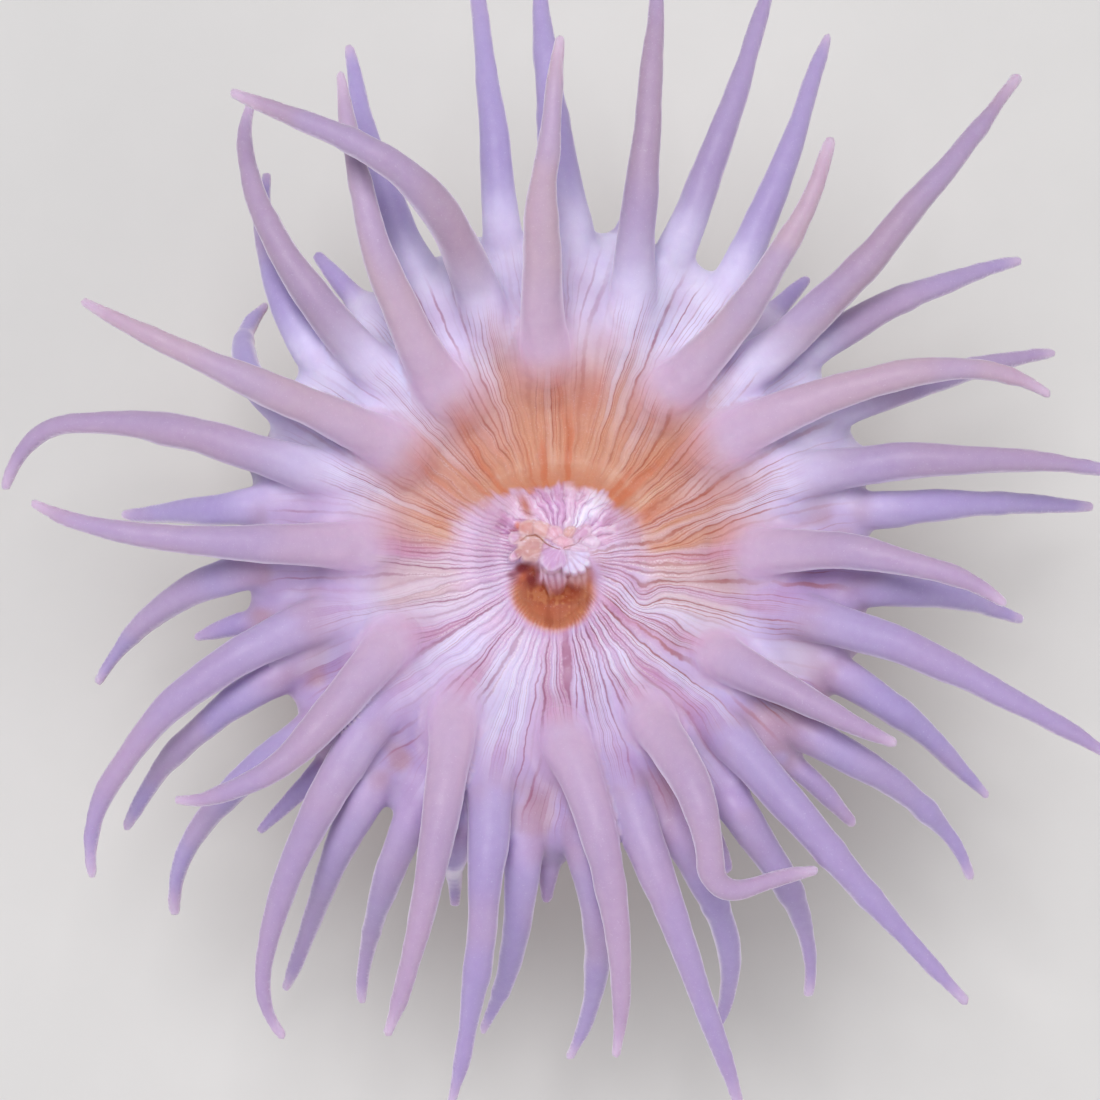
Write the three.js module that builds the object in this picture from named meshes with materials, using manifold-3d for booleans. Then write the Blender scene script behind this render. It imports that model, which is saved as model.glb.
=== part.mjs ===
// Sea anemone, life size, expanded, standing on its pedal disc.
// Millimetres, +Z up. The origin is the middle of the pedal disc's flat underside, and the mouth
// faces up. Plan angles are degrees anticlockwise from +X, seen from above.
import * as THREE from 'three';
import { mergeVertices } from 'three/addons/utils/BufferGeometryUtils.js';
import Module from 'manifold-3d';

const wasm = await Module();
wasm.setup();

// ---- driving dimensions -------------------------------------------------------------------

const GAP = 0.3; // clear space between neighbouring solids
const FULL_TURN = 2 * Math.PI;

const FOOT = { height: 3.2, edge: 21, lobes: 0.035, turn: 0.7, flare: 2.2 };
const WAIST = { radius: 17.4, height: 14 };
const NECK = { radius: 28.2, height: 34.6, flare: 2.1 };
const FOOT_WAVES = [[1, 5, 0.6], [0.6, 8, 2]]; // [strength, waves in a turn, phase]
const BANDS = { lower: 4, upper: 5, rim: 5 }; // rings of faces up each length of the body

// The crown is one surface: out from the mouth across a shallow dish, then over a round rim.
const RIM = { start: 27.4, radius: 3.1, top: 41.6, tuck: 132 };
const DISH = { inner: 8.4, outer: 26.0, low: 36.8, climb: 1.2, rings: [23.4, 19.5, 15.5, 11.8] };
const TROUGH = { depth: 1.0, start: 9, end: 21 }; // the dish's hollow behind the mouth
const MOUTH = { offset: -2.2, pit: 30.2, swell: 3.2, crest: 0.2, fall: 1, front: -0.7, back: 0.8 };
const THROAT = { middle: -3.1, radius: 5.8, edge: 37.2, floor: 34, round: 0.6, narrowing: 0.8 };
const LIPS = { x: 0.2, y: -1.5, width: 4.5, breadth: 3.8, base: 34.9, top: 41.2 };
const LIP_SECTIONS = [[0.78, 0], [0.84, 0.3], [1, 0.75], [0.72, 0.96]]; // [share of width, of height]
const LIP_LOBES = { count: 7, depth: 0.06, phase: 0.8 };
const SLIT = { width: 0.36, shift: 0.8, swing: 0.5, pace: 0.75, phase: 0.4, bow: 0.03 };

// Root ring, root thickness and steepness of each circle of tentacles. Reach is along the
// crown's surface, rise and fall are slopes in degrees at the root and at the tip.
const INNER = { ring: 18.6, root: 2.55, rise: 60, fall: -14, height: 50 };
const MIDDLE = { ring: 23.4, root: 2.35, rise: 44, fall: -22, height: 43 };
const OUTER = { ring: 29.2, root: 2.0, rise: 24, fall: -26, height: 33 };
const TIP_RADIUS = 0.55;
const TAPER = 1.15; // 1 is a plain cone, more keeps the thickness further out
const FLARE = 1.15; // how much wider the root's footing is than the tentacle
const TIP_ROUNDING = 1.05;
const ROOT_SHARE = 0.2; // the share of the length over which it turns square to its own line
const PULL = 0.36; // how far each end's heading is felt, as a share of the span

// Where the rings of a tentacle lie along it, and those of the two lengths of a bent one.
const SIDES = 7;
const STATIONS = [0.06, 0.16, 0.28, 0.41, 0.54, 0.67, 0.79, 0.9];
const LOWER_STATIONS = [0.1, 0.25, 0.42, 0.6, 0.8];
const UPPER_STATIONS = [0.15, 0.32, 0.5, 0.68, 0.85];
const BODY_SEGMENTS = 36;
const WELD = 1e-5; // points closer than this are one

const PINK = { color: 0xdcc0d4, roughness: 0.35 };
const LILAC = { color: 0xc9bfe2, roughness: 0.35 };
const DISC_ORANGE = { color: 0xd9a48c, roughness: 0.4 };
const LIP_WHITE = { color: 0xe6cfe0, roughness: 0.3 };
const COLUMN_TAN = { color: 0xb98a6a, roughness: 0.5 };

// ---- small helpers ------------------------------------------------------------------------

const radians = (degrees) => (degrees * Math.PI) / 180;
const heading = (degrees, slope) => new THREE.Vector3(
  Math.cos(radians(degrees)) * Math.cos(radians(slope)),
  Math.sin(radians(degrees)) * Math.cos(radians(slope)),
  Math.sin(radians(slope)),
);
const average = (points) => points
  .reduce((sum, point) => sum.add(point), new THREE.Vector3())
  .divideScalar(points.length);

function makeMesh(name, geometry, look) {
  const mesh = new THREE.Mesh(geometry, new THREE.MeshStandardMaterial(look));
  mesh.name = name;
  return mesh;
}

// A closed skin over rings of equal count. Each end is closed with a fan to one point, unless
// the rings run round in a loop and meet themselves.
function loft(rings, { first, last, loop = false }) {
  const count = rings[0].length;
  const points = rings.flat();
  const index = [];
  const bands = loop ? rings.length : rings.length - 1;
  for (let band = 0; band < bands; band += 1) {
    const near = band * count;
    const far = ((band + 1) % rings.length) * count;
    for (let side = 0; side < count; side += 1) {
      const next = (side + 1) % count;
      index.push(near + side, near + next, far + next);
      index.push(near + side, far + next, far + side);
    }
  }
  if (!loop) {
    const end = (rings.length - 1) * count;
    points.push(first, last);
    for (let side = 0; side < count; side += 1) {
      const next = (side + 1) % count;
      index.push(next, side, points.length - 2);
      index.push(end + side, end + next, points.length - 1);
    }
  }
  const geometry = new THREE.BufferGeometry().setFromPoints(points);
  geometry.setIndex(index);
  return geometry;
}

function toSolid(geometry) {
  const plain = geometry.clone();
  plain.deleteAttribute('normal');
  plain.deleteAttribute('uv');
  const merged = mergeVertices(plain, WELD);
  return new wasm.Manifold(new wasm.Mesh({
    numProp: 3,
    vertProperties: new Float32Array(merged.attributes.position.array),
    triVerts: new Uint32Array(merged.index.array),
  }));
}

function toGeometry(solid) {
  const mesh = solid.getMesh();
  const geometry = new THREE.BufferGeometry();
  geometry.setAttribute('position', new THREE.BufferAttribute(mesh.vertProperties, 3));
  geometry.setIndex(new THREE.BufferAttribute(mesh.triVerts, 1));
  return geometry;
}

// ---- the crown's surface ------------------------------------------------------------------

// The dish rises from the mouth to the rim, and is deepest on the +Y side of the mouth.
function dishHeight(reach, angle) {
  const climb = THREE.MathUtils.smoothstep(reach, DISH.inner, RIM.start);
  const near = 1 - THREE.MathUtils.smoothstep(reach, TROUGH.start, TROUGH.end);
  const trough = TROUGH.depth * Math.max(0, Math.sin(angle)) * near;
  return DISH.low + (RIM.top - DISH.low) * climb ** DISH.climb - trough;
}

// The mouth sits off the middle, so the dish's circles slide towards it as they shrink.
function dishPoint(radius, angle, height) {
  const slide = MOUTH.offset * (1 - Math.min(1, radius / RIM.start));
  return new THREE.Vector3(radius * Math.cos(angle), radius * Math.sin(angle) + slide, height);
}

// A point on the crown, by its distance along the surface from the mouth and its plan angle.
function crownPoint(reach, angle) {
  if (reach <= RIM.start) return dishPoint(reach, angle, dishHeight(reach, angle));
  const turn = (reach - RIM.start) / RIM.radius;
  const drop = RIM.radius * (1 - Math.cos(turn));
  return dishPoint(RIM.start + RIM.radius * Math.sin(turn), angle, RIM.top - drop);
}

function crownNormal(reach, angle) {
  const step = 0.05;
  const out = crownPoint(reach + step, angle).sub(crownPoint(reach - step, angle));
  const turn = step / reach;
  const around = crownPoint(reach, angle + turn).sub(crownPoint(reach, angle - turn));
  return out.cross(around).normalize();
}

function circle(count, pointAt) {
  return Array.from({ length: count }, (_, k) => pointAt((FULL_TURN * k) / count));
}

const bodyRing = (pointAt) => circle(BODY_SEGMENTS, pointAt);
const crownRing = (reach) => bodyRing((angle) => crownPoint(reach, angle));
const dishRing = (radius, height) => bodyRing((angle) => dishPoint(radius, angle, height));

// ---- foot, column, rim and dish -----------------------------------------------------------

// A level ring round the column's axis. The foot's outline is gently lobed, the waist round.
function columnRing(radius, height) {
  const footed = 1 - THREE.MathUtils.smoothstep(height, 0, WAIST.height);
  return bodyRing((angle) => {
    const waves = FOOT_WAVES.map(([strength, count, phase]) => (
      strength * Math.cos(count * angle + phase)));
    const lobes = waves.reduce((sum, wave) => sum + wave);
    const edge = radius * (1 + FOOT.lobes * footed * lobes);
    return new THREE.Vector3(edge * Math.cos(angle), edge * Math.sin(angle), height);
  });
}

const axisPoint = (height) => new THREE.Vector3(0, 0, height);

// The column's radius at a height: a flared foot, a waist, and a trumpet up to the crown.
function columnRadius(height) {
  if (height < WAIST.height) {
    const down = (WAIST.height - height) / WAIST.height;
    return WAIST.radius + (FOOT.edge - WAIST.radius) * down ** FOOT.flare;
  }
  const up = (height - WAIST.height) / (NECK.height - WAIST.height);
  return WAIST.radius + (NECK.radius - WAIST.radius) * up ** NECK.flare;
}

function columnRings(low, high, bands) {
  const heights = Array.from({ length: bands + 1 }, (_, k) => low + ((high - low) * k) / bands);
  return heights.map((height) => columnRing(columnRadius(height), height));
}

function makePedalDisc() {
  const { height, edge, turn } = FOOT;
  const sole = [columnRing(edge - turn, 0), columnRing(edge, turn)];
  const rings = [...sole, columnRing(columnRadius(height), height)];
  return loft(rings, { first: axisPoint(0), last: axisPoint(height) });
}

function makeColumnLower() {
  const low = FOOT.height + GAP;
  const rings = columnRings(low, WAIST.height, BANDS.lower);
  return loft(rings, { first: axisPoint(low), last: axisPoint(WAIST.height) });
}

// The upper column is hollowed at the top to take the throat.
function makeColumnUpper() {
  const low = WAIST.height + GAP;
  const pit = [dishRing(DISH.inner, NECK.height), dishRing(DISH.inner, MOUTH.pit)];
  const rings = [...columnRings(low, NECK.height, BANDS.upper), ...pit];
  return loft(rings, { first: axisPoint(low), last: dishPoint(0, 0, MOUTH.pit) });
}

// The rim is a closed ring: over the round edge, then back under and up its inner wall.
function makeCollar() {
  const tuckReach = RIM.start + RIM.radius * radians(RIM.tuck);
  const start = DISH.outer + GAP;
  const rings = [crownRing(start)];
  for (let k = 0; k <= BANDS.rim; k += 1) {
    rings.push(crownRing(RIM.start + ((tuckReach - RIM.start) * k) / BANDS.rim));
  }
  rings.push(dishRing(start, NECK.height + GAP));
  return loft(rings.reverse(), { loop: true });
}

function makeOralDisc() {
  const floor = NECK.height + GAP;
  const steps = [DISH.outer, ...DISH.rings, DISH.inner];
  const under = [dishRing(DISH.inner, floor), dishRing(DISH.outer, floor)];
  return loft([...under, ...steps.map(crownRing)], { loop: true });
}

// ---- mouth --------------------------------------------------------------------------------

// A ring between the mouth's outer edge (mix 0) and the edge of the throat (mix 1), which lies
// further forward. size shrinks it about its own middle.
function mouthRing(mix, heightAt, size = 1) {
  const outer = DISH.inner - GAP;
  const middle = THREE.MathUtils.lerp(dishPoint(outer, 0, 0).y, THROAT.middle, mix);
  const radius = THREE.MathUtils.lerp(outer, THROAT.radius, mix) * size;
  return bodyRing((angle) => new THREE.Vector3(
    radius * Math.cos(angle),
    middle + radius * Math.sin(angle),
    heightAt(angle),
  ));
}

// The raised surround of the mouth, high at the back, with the throat's cup sunk in its front.
function makePeristome() {
  const bottom = MOUTH.pit + GAP;
  const { crest, fall, front, back, swell } = MOUTH;
  const raised = (angle) => swell * THREE.MathUtils.smoothstep(Math.sin(angle), front, back);
  const rings = [
    mouthRing(0, () => bottom),
    mouthRing(0, (angle) => dishHeight(DISH.inner, angle)),
    mouthRing(0.5, (angle) => THROAT.edge + crest + raised(angle)),
    mouthRing(1, (angle) => THROAT.edge + raised(angle) * (1 - fall / swell)),
    mouthRing(1, () => THROAT.floor + THROAT.round, THROAT.narrowing),
  ];
  const middle = (height) => new THREE.Vector3(0, THROAT.middle, height);
  return loft(rings, { first: middle(bottom), last: middle(THROAT.floor) });
}

// The lips are one lobed mass, split along a wavy slit into a half on each side.
function lipMass() {
  const { count, depth, phase } = LIP_LOBES;
  const rings = LIP_SECTIONS.map(([size, up]) => circle(BODY_SEGMENTS / 2, (angle) => {
    const lobe = size * (1 + depth * up * Math.cos(count * angle + phase));
    return new THREE.Vector3(
      LIPS.x + LIPS.width * lobe * Math.cos(angle),
      LIPS.y + LIPS.breadth * lobe * Math.sin(angle),
      LIPS.base + (LIPS.top - LIPS.base) * up,
    );
  }));
  const middle = (height) => new THREE.Vector3(LIPS.x, LIPS.y, height);
  return toSolid(loft(rings, { first: middle(LIPS.base), last: middle(LIPS.top) }));
}

function slitLine(x) {
  const wave = SLIT.swing * Math.sin(SLIT.pace * x + SLIT.phase);
  return LIPS.y + SLIT.shift - wave + SLIT.bow * x * x;
}

// A block on one side of the slit, wider and taller than the whole lip mass.
function slitSide(side) {
  const reach = 2 * LIPS.width;
  const steps = 12;
  const shape = new THREE.Shape();
  shape.moveTo(reach, side * 2 * reach);
  shape.lineTo(-reach, side * 2 * reach);
  for (let k = 0; k <= steps; k += 1) {
    const x = -reach + (2 * reach * k) / steps;
    shape.lineTo(x, slitLine(x) + (side * SLIT.width) / 2);
  }
  const block = new THREE.ExtrudeGeometry(shape, { depth: LIPS.top, bevelEnabled: false });
  return toSolid(block.translate(0, 0, LIPS.top / 2));
}

// ---- tentacles ----------------------------------------------------------------------------

const taper = (root, t) => (
  TIP_RADIUS + (root - TIP_RADIUS) * (1 - t ** TAPER) ** TIP_ROUNDING);

// Rings square to a curve, carried along it without twist. Where the curve grows from the crown,
// the first rings lean from the crown's own direction towards the curve's.
function tentacleRings(curve, radiusAt, stations, across, { crownward, sides = SIDES } = {}) {
  const side = across.clone();
  return stations.map((t) => {
    const tangent = curve.getTangentAt(t);
    if (crownward) {
      const square = THREE.MathUtils.smoothstep(t, -ROOT_SHARE / 2, ROOT_SHARE);
      tangent.lerp(crownward, 1 - square).normalize();
    }
    side.addScaledVector(tangent, -side.dot(tangent)).normalize();
    const up = side.clone().cross(tangent);
    const radius = radiusAt(t);
    return circle(sides, (angle) => curve.getPointAt(t)
      .addScaledVector(up, radius * Math.cos(angle))
      .addScaledVector(side, radius * Math.sin(angle)));
  });
}

function footing(reach, angle, radius) {
  const place = (s, a) => crownPoint(s, a).addScaledVector(crownNormal(s, a), GAP);
  const ring = circle(SIDES, (around) => place(
    reach + radius * Math.cos(around),
    angle + (radius * Math.sin(around)) / reach,
  ));
  return { ring, middle: place(reach, angle), normal: crownNormal(reach, angle) };
}

// A bent span between two points with a given heading and slope at each end.
function span(from, leave, to, arrive, [pull, push] = [PULL, PULL]) {
  const length = from.distanceTo(to);
  return new THREE.CubicBezierCurve3(
    from,
    from.clone().addScaledVector(leave, length * pull),
    to.clone().addScaledVector(arrive, -length * push),
    to,
  );
}

const planPoint = ([angle, reach, height]) => new THREE.Vector3(
  reach * Math.cos(radians(angle)),
  reach * Math.sin(radians(angle)),
  height,
);

// One tentacle. root is the plan angle on its circle; leave and arrive are plan headings at the
// root and the tip; tip is [plan angle, distance from the axis, height]. A tentacle with an
// elbow is two lengths: [elbow point, heading there, slope there, share of the whole length].
function makeTentacle(name, circleOf, { root, leave, tip, arrive, elbow, rise, fall, thick = 1 }) {
  const angle = radians(root);
  const rootRadius = circleOf.root * thick;
  const start = footing(circleOf.ring, angle, rootRadius * FLARE);
  const across = new THREE.Vector3(-Math.sin(angle), Math.cos(angle), 0);
  const leaving = heading(leave, rise ?? circleOf.rise);
  const arriving = heading(arrive, fall ?? circleOf.fall);
  const end = planPoint([tip[0], tip[1], tip[2] ?? circleOf.height]);
  const look = circleOf === OUTER ? LILAC : PINK;
  if (!elbow) {
    const curve = span(start.middle, leaving, end, arriving);
    const radiusAt = (t) => taper(rootRadius, t);
    const rings = tentacleRings(curve, radiusAt, STATIONS, across, { crownward: start.normal });
    const skin = loft([start.ring, ...rings], { first: start.middle, last: end });
    return [makeMesh(name, skin, look)];
  }
  const { at, turn, slope, share, pulls = [] } = elbow;
  const joint = planPoint(at);
  const through = heading(turn, slope);
  const lower = span(start.middle, leaving, joint, through, pulls[0]);
  const upper = span(joint, through, end, arriving, pulls[1]);
  const cut = GAP / 2;
  const lowerEnd = 1 - cut / lower.getLength();
  const upperStart = cut / upper.getLength();
  const lowerRings = tentacleRings(
    lower,
    (t) => taper(rootRadius, t * share),
    [...LOWER_STATIONS, lowerEnd],
    across,
    { crownward: start.normal },
  );
  const upperRings = tentacleRings(
    upper,
    (t) => taper(rootRadius, share + t * (1 - share)),
    [upperStart, ...UPPER_STATIONS],
    across,
  );
  return [
    makeMesh(`${name}_base`, loft([start.ring, ...lowerRings], {
      first: start.middle,
      last: average(lowerRings.at(-1)),
    }), look),
    makeMesh(`${name}_tip`, loft(upperRings, { first: average(upperRings[0]), last: end }), look),
  ];
}

// Each circle in turn, anticlockwise from +X.
const INNER_TENTACLES = [
  { root: -2, leave: -6, tip: [-10, 44, 49], arrive: -38, rise: 64 },
  { root: 33, leave: 22, tip: [15.5, 50.5, 46], arrive: -34 },
  { root: 56, leave: 26, tip: [55, 46, 54], arrive: 74 },
  { root: 94, leave: 102, tip: [90, 47.5, 55], arrive: 82 },
  { root: 126, leave: 138, tip: [115.5, 50, 51], arrive: 94 },
  { root: 149, leave: 158, tip: [154.5, 52, 50], arrive: 150 },
  { root: 180, leave: 186, tip: [177, 52, 48], arrive: 152 },
  { root: -151, leave: -127, tip: [-145.5, 46, 45], arrive: 164, rise: 74 },
  { root: -124, leave: -93, tip: [-109, 52, 44], arrive: -112 },
  { root: -90, leave: -62, tip: [-84, 51.5, 42], arrive: -102, rise: 62 },
  {
    root: -63,
    leave: -56,
    rise: 70,
    tip: [-53, 41.5, 47],
    arrive: 6,
    elbow: { at: [-66, 35, 50], turn: -86, slope: -16, share: 0.62, pulls: [[0.4, 0.3], [0.5, 0.62]] },
  },
  { root: -35, leave: -38, tip: [-32.5, 39, 46], arrive: -22, rise: 68 },
];

const MIDDLE_TENTACLES = [
  { root: 15, leave: 10, tip: [6.5, 56.5], arrive: -6 },
  { root: 43, leave: 29, tip: [45, 65, 46], arrive: 55 },
  { root: 72, leave: 91, tip: [80.5, 58.5, 45], arrive: 90 },
  {
    root: 108,
    leave: 112,
    tip: [127.5, 52.5, 56],
    arrive: 156,
    rise: 50,
    fall: -8,
    elbow: { at: [117.5, 40, 58], turn: 152, slope: 2, share: 0.55 },
  },
  { root: 137, leave: 141, tip: [125, 54], arrive: 72 },
  {
    root: 164,
    leave: 174,
    rise: 50,
    tip: [175, 56, 40],
    arrive: -106,
    elbow: { at: [167, 50.3, 43], turn: 184, slope: -8, share: 0.74 },
  },
  { root: -161, leave: -166, tip: [-144, 57.5, 38], arrive: -78 },
  {
    root: -136.5,
    leave: -125,
    rise: 47,
    tip: [-119, 57, 36],
    arrive: -50,
    elbow: { at: [-124.5, 52, 39], turn: -98, slope: -18, share: 0.84 },
  },
  { root: -107, leave: -90, tip: [-101, 57.5, 38], arrive: -108, rise: 50 },
  { root: -76, leave: -73, tip: [-72.6, 59.5, 38], arrive: -73 },
  { root: -49, leave: -54, tip: [-49, 61, 41], arrive: -46 },
  { root: -18, leave: -14, tip: [-22, 59.5], arrive: -30 },
];

const OUTER_TENTACLES = [
  { root: 5, leave: 2, tip: [4, 54.5, 35], arrive: 0 },
  { root: 25, leave: 18, tip: [21.5, 55], arrive: 14 },
  { root: 37, leave: 34, tip: [31.5, 55.5, 37], arrive: 18 },
  { root: 56, leave: 60, tip: [62, 59, 39], arrive: 71 },
  { root: 68, leave: 67, tip: [69.5, 62.5, 39], arrive: 75 },
  { root: 87, leave: 102, tip: [92, 60, 39], arrive: 90, thick: 1.15 },
  { root: 101, leave: 96, tip: [98.5, 60.5, 38], arrive: 97 },
  { root: 117.5, leave: 122, tip: [113, 56, 37], arrive: 102 },
  { root: 144, leave: 130, tip: [128, 49.5, 34], arrive: 88 },
  { root: 155, leave: 150, tip: [139.5, 40.5, 28], arrive: 50 },
  { root: 174, leave: 180, tip: [176, 45], arrive: 174 },
  { root: -174, leave: -170, tip: [-163.5, 49.5, 31], arrive: -122 },
  { root: -154, leave: -150, tip: [-147, 53, 31], arrive: -120 },
  { root: -142, leave: -143, tip: [-136.5, 54.5, 29], arrive: -90 },
  { root: -127, leave: -122, tip: [-122, 53.5, 28], arrive: -114 },
  { root: -118.5, leave: -108, tip: [-113.5, 51, 27], arrive: -92, thick: 0.9 },
  { root: -109.5, leave: -102, tip: [-106.5, 38.5, 28], arrive: -92, thick: 0.8 },
  { root: -97, leave: -92, tip: [-99, 50.5, 28], arrive: -116 },
  { root: -86, leave: -76, tip: [-89, 52.5, 28], arrive: -118 },
  { root: -69, leave: -60, tip: [-73, 53, 26], arrive: -118 },
  { root: -57, leave: -60, tip: [-61, 52.5, 28], arrive: -96 },
  { root: -39, leave: -34, tip: [-39, 54, 31], arrive: -70 },
  { root: -26, leave: -30, tip: [-30.5, 50.5, 33], arrive: -46 },
  { root: -10, leave: 0, tip: [-9, 48, 33], arrive: -16 },
];

// Short young tentacles on the rim's outer side: [plan angle, length].
const YOUNG = [
  [15, 6], [47, 7], [78, 5], [108, 7], [130, 9], [165, 6],
  [-165, 8], [-136, 12], [-92, 6], [-63, 7], [-44, 11], [-18, 6],
];
const YOUNG_SIZE = { root: 1.35, ring: 31.9, buried: 1.2, rise: 2, fall: -34, sides: 5 };
const YOUNG_STATIONS = [0, 0.4, 0.75];

function makeYoungTentacle([angle, length]) {
  const turned = radians(angle);
  const root = crownPoint(YOUNG_SIZE.ring, turned);
  const normal = crownNormal(YOUNG_SIZE.ring, turned);
  const from = root.clone().addScaledVector(normal, -YOUNG_SIZE.buried);
  const to = root.clone().addScaledVector(heading(angle, YOUNG_SIZE.fall / 2), length);
  const curve = span(from, heading(angle, YOUNG_SIZE.rise), to, heading(angle, YOUNG_SIZE.fall));
  const across = new THREE.Vector3(-Math.sin(turned), Math.cos(turned), 0);
  const radiusAt = (t) => taper(YOUNG_SIZE.root, t);
  const { sides } = YOUNG_SIZE;
  const rings = tentacleRings(curve, radiusAt, YOUNG_STATIONS, across, { sides });
  return toSolid(loft(rings, { first: from, last: to }));
}

// ---- the whole animal ---------------------------------------------------------------------

const animal = new THREE.Group();

function addBody() {
  const young = YOUNG.map(makeYoungTentacle);
  const collar = young.reduce((sum, one) => sum.add(one), toSolid(makeCollar()));
  const lips = lipMass();
  animal.add(
    makeMesh('pedal_disc', makePedalDisc(), COLUMN_TAN),
    makeMesh('column_lower', makeColumnLower(), COLUMN_TAN),
    makeMesh('column_upper', makeColumnUpper(), COLUMN_TAN),
    makeMesh('margin_collar', toGeometry(collar), LILAC),
    makeMesh('oral_disc', makeOralDisc(), DISC_ORANGE),
    makeMesh('peristome', makePeristome(), LIP_WHITE),
    makeMesh('lip_back', toGeometry(lips.intersect(slitSide(1))), LIP_WHITE),
    makeMesh('lip_front', toGeometry(lips.intersect(slitSide(-1))), LIP_WHITE),
  );
}

function addCircle(word, circleOf, poses) {
  poses.forEach((pose, k) => {
    const number = String(k + 1).padStart(2, '0');
    animal.add(...makeTentacle(`tentacle_${word}_${number}`, circleOf, pose));
  });
}

addBody();
addCircle('inner', INNER, INNER_TENTACLES);
addCircle('middle', MIDDLE, MIDDLE_TENTACLES);
addCircle('outer', OUTER, OUTER_TENTACLES);

export default animal;
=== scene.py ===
import itertools
import math

import bpy
import numpy as np
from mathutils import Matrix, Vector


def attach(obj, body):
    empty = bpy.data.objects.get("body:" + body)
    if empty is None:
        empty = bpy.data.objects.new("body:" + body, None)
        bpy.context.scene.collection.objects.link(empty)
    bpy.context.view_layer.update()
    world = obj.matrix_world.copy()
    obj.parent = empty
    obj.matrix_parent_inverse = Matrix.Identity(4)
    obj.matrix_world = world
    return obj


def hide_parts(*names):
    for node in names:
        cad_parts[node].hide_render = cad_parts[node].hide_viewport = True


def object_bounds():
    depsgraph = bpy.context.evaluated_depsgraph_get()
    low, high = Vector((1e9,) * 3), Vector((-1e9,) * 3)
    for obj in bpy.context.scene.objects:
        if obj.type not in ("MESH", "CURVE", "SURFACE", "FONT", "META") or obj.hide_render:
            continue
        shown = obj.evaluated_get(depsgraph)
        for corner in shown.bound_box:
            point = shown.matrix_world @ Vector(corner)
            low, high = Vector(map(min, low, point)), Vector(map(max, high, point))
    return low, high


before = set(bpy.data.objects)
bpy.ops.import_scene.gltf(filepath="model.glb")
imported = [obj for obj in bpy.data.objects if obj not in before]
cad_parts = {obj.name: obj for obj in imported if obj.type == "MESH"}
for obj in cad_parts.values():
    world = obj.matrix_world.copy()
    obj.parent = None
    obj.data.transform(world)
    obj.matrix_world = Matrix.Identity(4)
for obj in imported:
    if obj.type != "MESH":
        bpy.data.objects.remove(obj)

import openvdb
from mathutils import Matrix, Vector

start_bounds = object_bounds()
MM = 0.001
FULL_TURN = 2 * math.pi

# ---- driving dimensions, as in the CAD part -----------------------------------------------------
WAIST_RADIUS, WAIST_HEIGHT = 17.4, 14.0
FOOT_EDGE, FOOT_LOBES = 21.0, 0.035
NECK_RADIUS, NECK_HEIGHT = 28.2, 34.6
RIM_START, RIM_RADIUS, RIM_TOP, RIM_TUCK = 27.4, 3.1, 41.6, 132.0
DISH_INNER, DISH_LOW, DISH_TROUGH = 8.4, 36.8, 1.0
MOUTH_OFFSET = -2.2    # the mouth lies a little in front of the disc's middle
TIP_RADIUS = 0.5
# the short young tentacles on the rim: heading in degrees, length
YOUNG = [(15, 6), (47, 7), (78, 5), (108, 7), (130, 9), (165, 6),
         (-165, 8), (-136, 12), (-92, 6), (-63, 7), (-44, 11), (-18, 6)]
YOUNG_ROOT, YOUNG_RING, YOUNG_RISE, YOUNG_FALL = 1.35, 31.9, 2, -34

# ---- how finely things are made -----------------------------------------------------------------
VOXEL = 0.40           # spacing of the distance field
SAMPLE = 0.55          # spacing of the samples along a tentacle
PROFILE_STEP = 0.25    # spacing of the table of the body's outline
ROOT_BLEND = 3.3       # how widely a tentacle's root runs into the disc
SHEET_EDGE = 13.6      # reach at which the fine sheet of the mouth and disc ends
SHEET_STEP, MOUTH_STEP = 0.13, 0.08    # spacing of its rings, outside and inside reach 8.6
DISC_LOW, DISC_HIGH = 33.5, 44.0       # the heights between which the disc lies
COLUMN_TOP = 33.0      # height at which the column gives way to the crown
FINE_EDGE = 21.5       # reach inside which the skin round the sheet is refined
RIBS = 96              # ribs round the disc

noise_tables = np.random.default_rng(20240611)


# ---- small tools --------------------------------------------------------------------------------
def smoothstep(x, low, high):
    """Rises smoothly from 0 at low to 1 at high."""
    t = np.clip((x - low) / (high - low), 0, 1)
    return t * t * (3 - 2 * t)


def fade(x, low, high):
    """Falls smoothly from 1 at low to 0 at high."""
    return 1 - smoothstep(x, low, high)


def mix(a, b, t):
    return a + (b - a) * t


def smooth_min(a, b, width):
    overlap = np.maximum(width - np.abs(a - b), 0)
    return np.minimum(a, b) - overlap * overlap / (4 * width)


def from_corners(share, value_at):
    """A value inside a cell from the values at its eight corners."""
    total = 0
    for corner in itertools.product((0, 1), repeat=3):
        weight = 1
        for axis, side in enumerate(corner):
            weight = weight * (share[..., axis] if side else 1 - share[..., axis])
        total = total + weight * value_at(corner)
    return total


def make_noise(size=32):
    """A smooth noise in space, from -1 to 1, with features about one unit across."""
    table = noise_tables.uniform(-1, 1, (size, size, size)).astype(np.float32)

    def noise(points):
        cell = np.floor(points).astype(int)
        share = points - cell
        share = share * share * (3 - 2 * share)
        return from_corners(share, lambda corner: table[tuple((cell[..., axis] + corner[axis]) % size
                                                              for axis in range(3))])
    return noise


noise_a, noise_b, noise_c, noise_d = (make_noise() for _ in range(4))


def flat(x, y):
    return np.stack([x, y, np.zeros_like(x)], -1)


def wrapped(turn, waves, along):
    """Noise coordinates that join up round a full turn."""
    return np.stack([np.cos(turn) * waves, np.sin(turn) * waves, along], -1)


def colour(hexa):
    """Linear RGB from a hex colour."""
    s = np.array([int(hexa[k:k + 2], 16) for k in (0, 2, 4)]) / 255
    return np.where(s <= 0.04045, s / 12.92, ((s + 0.055) / 1.055) ** 2.4)


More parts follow.
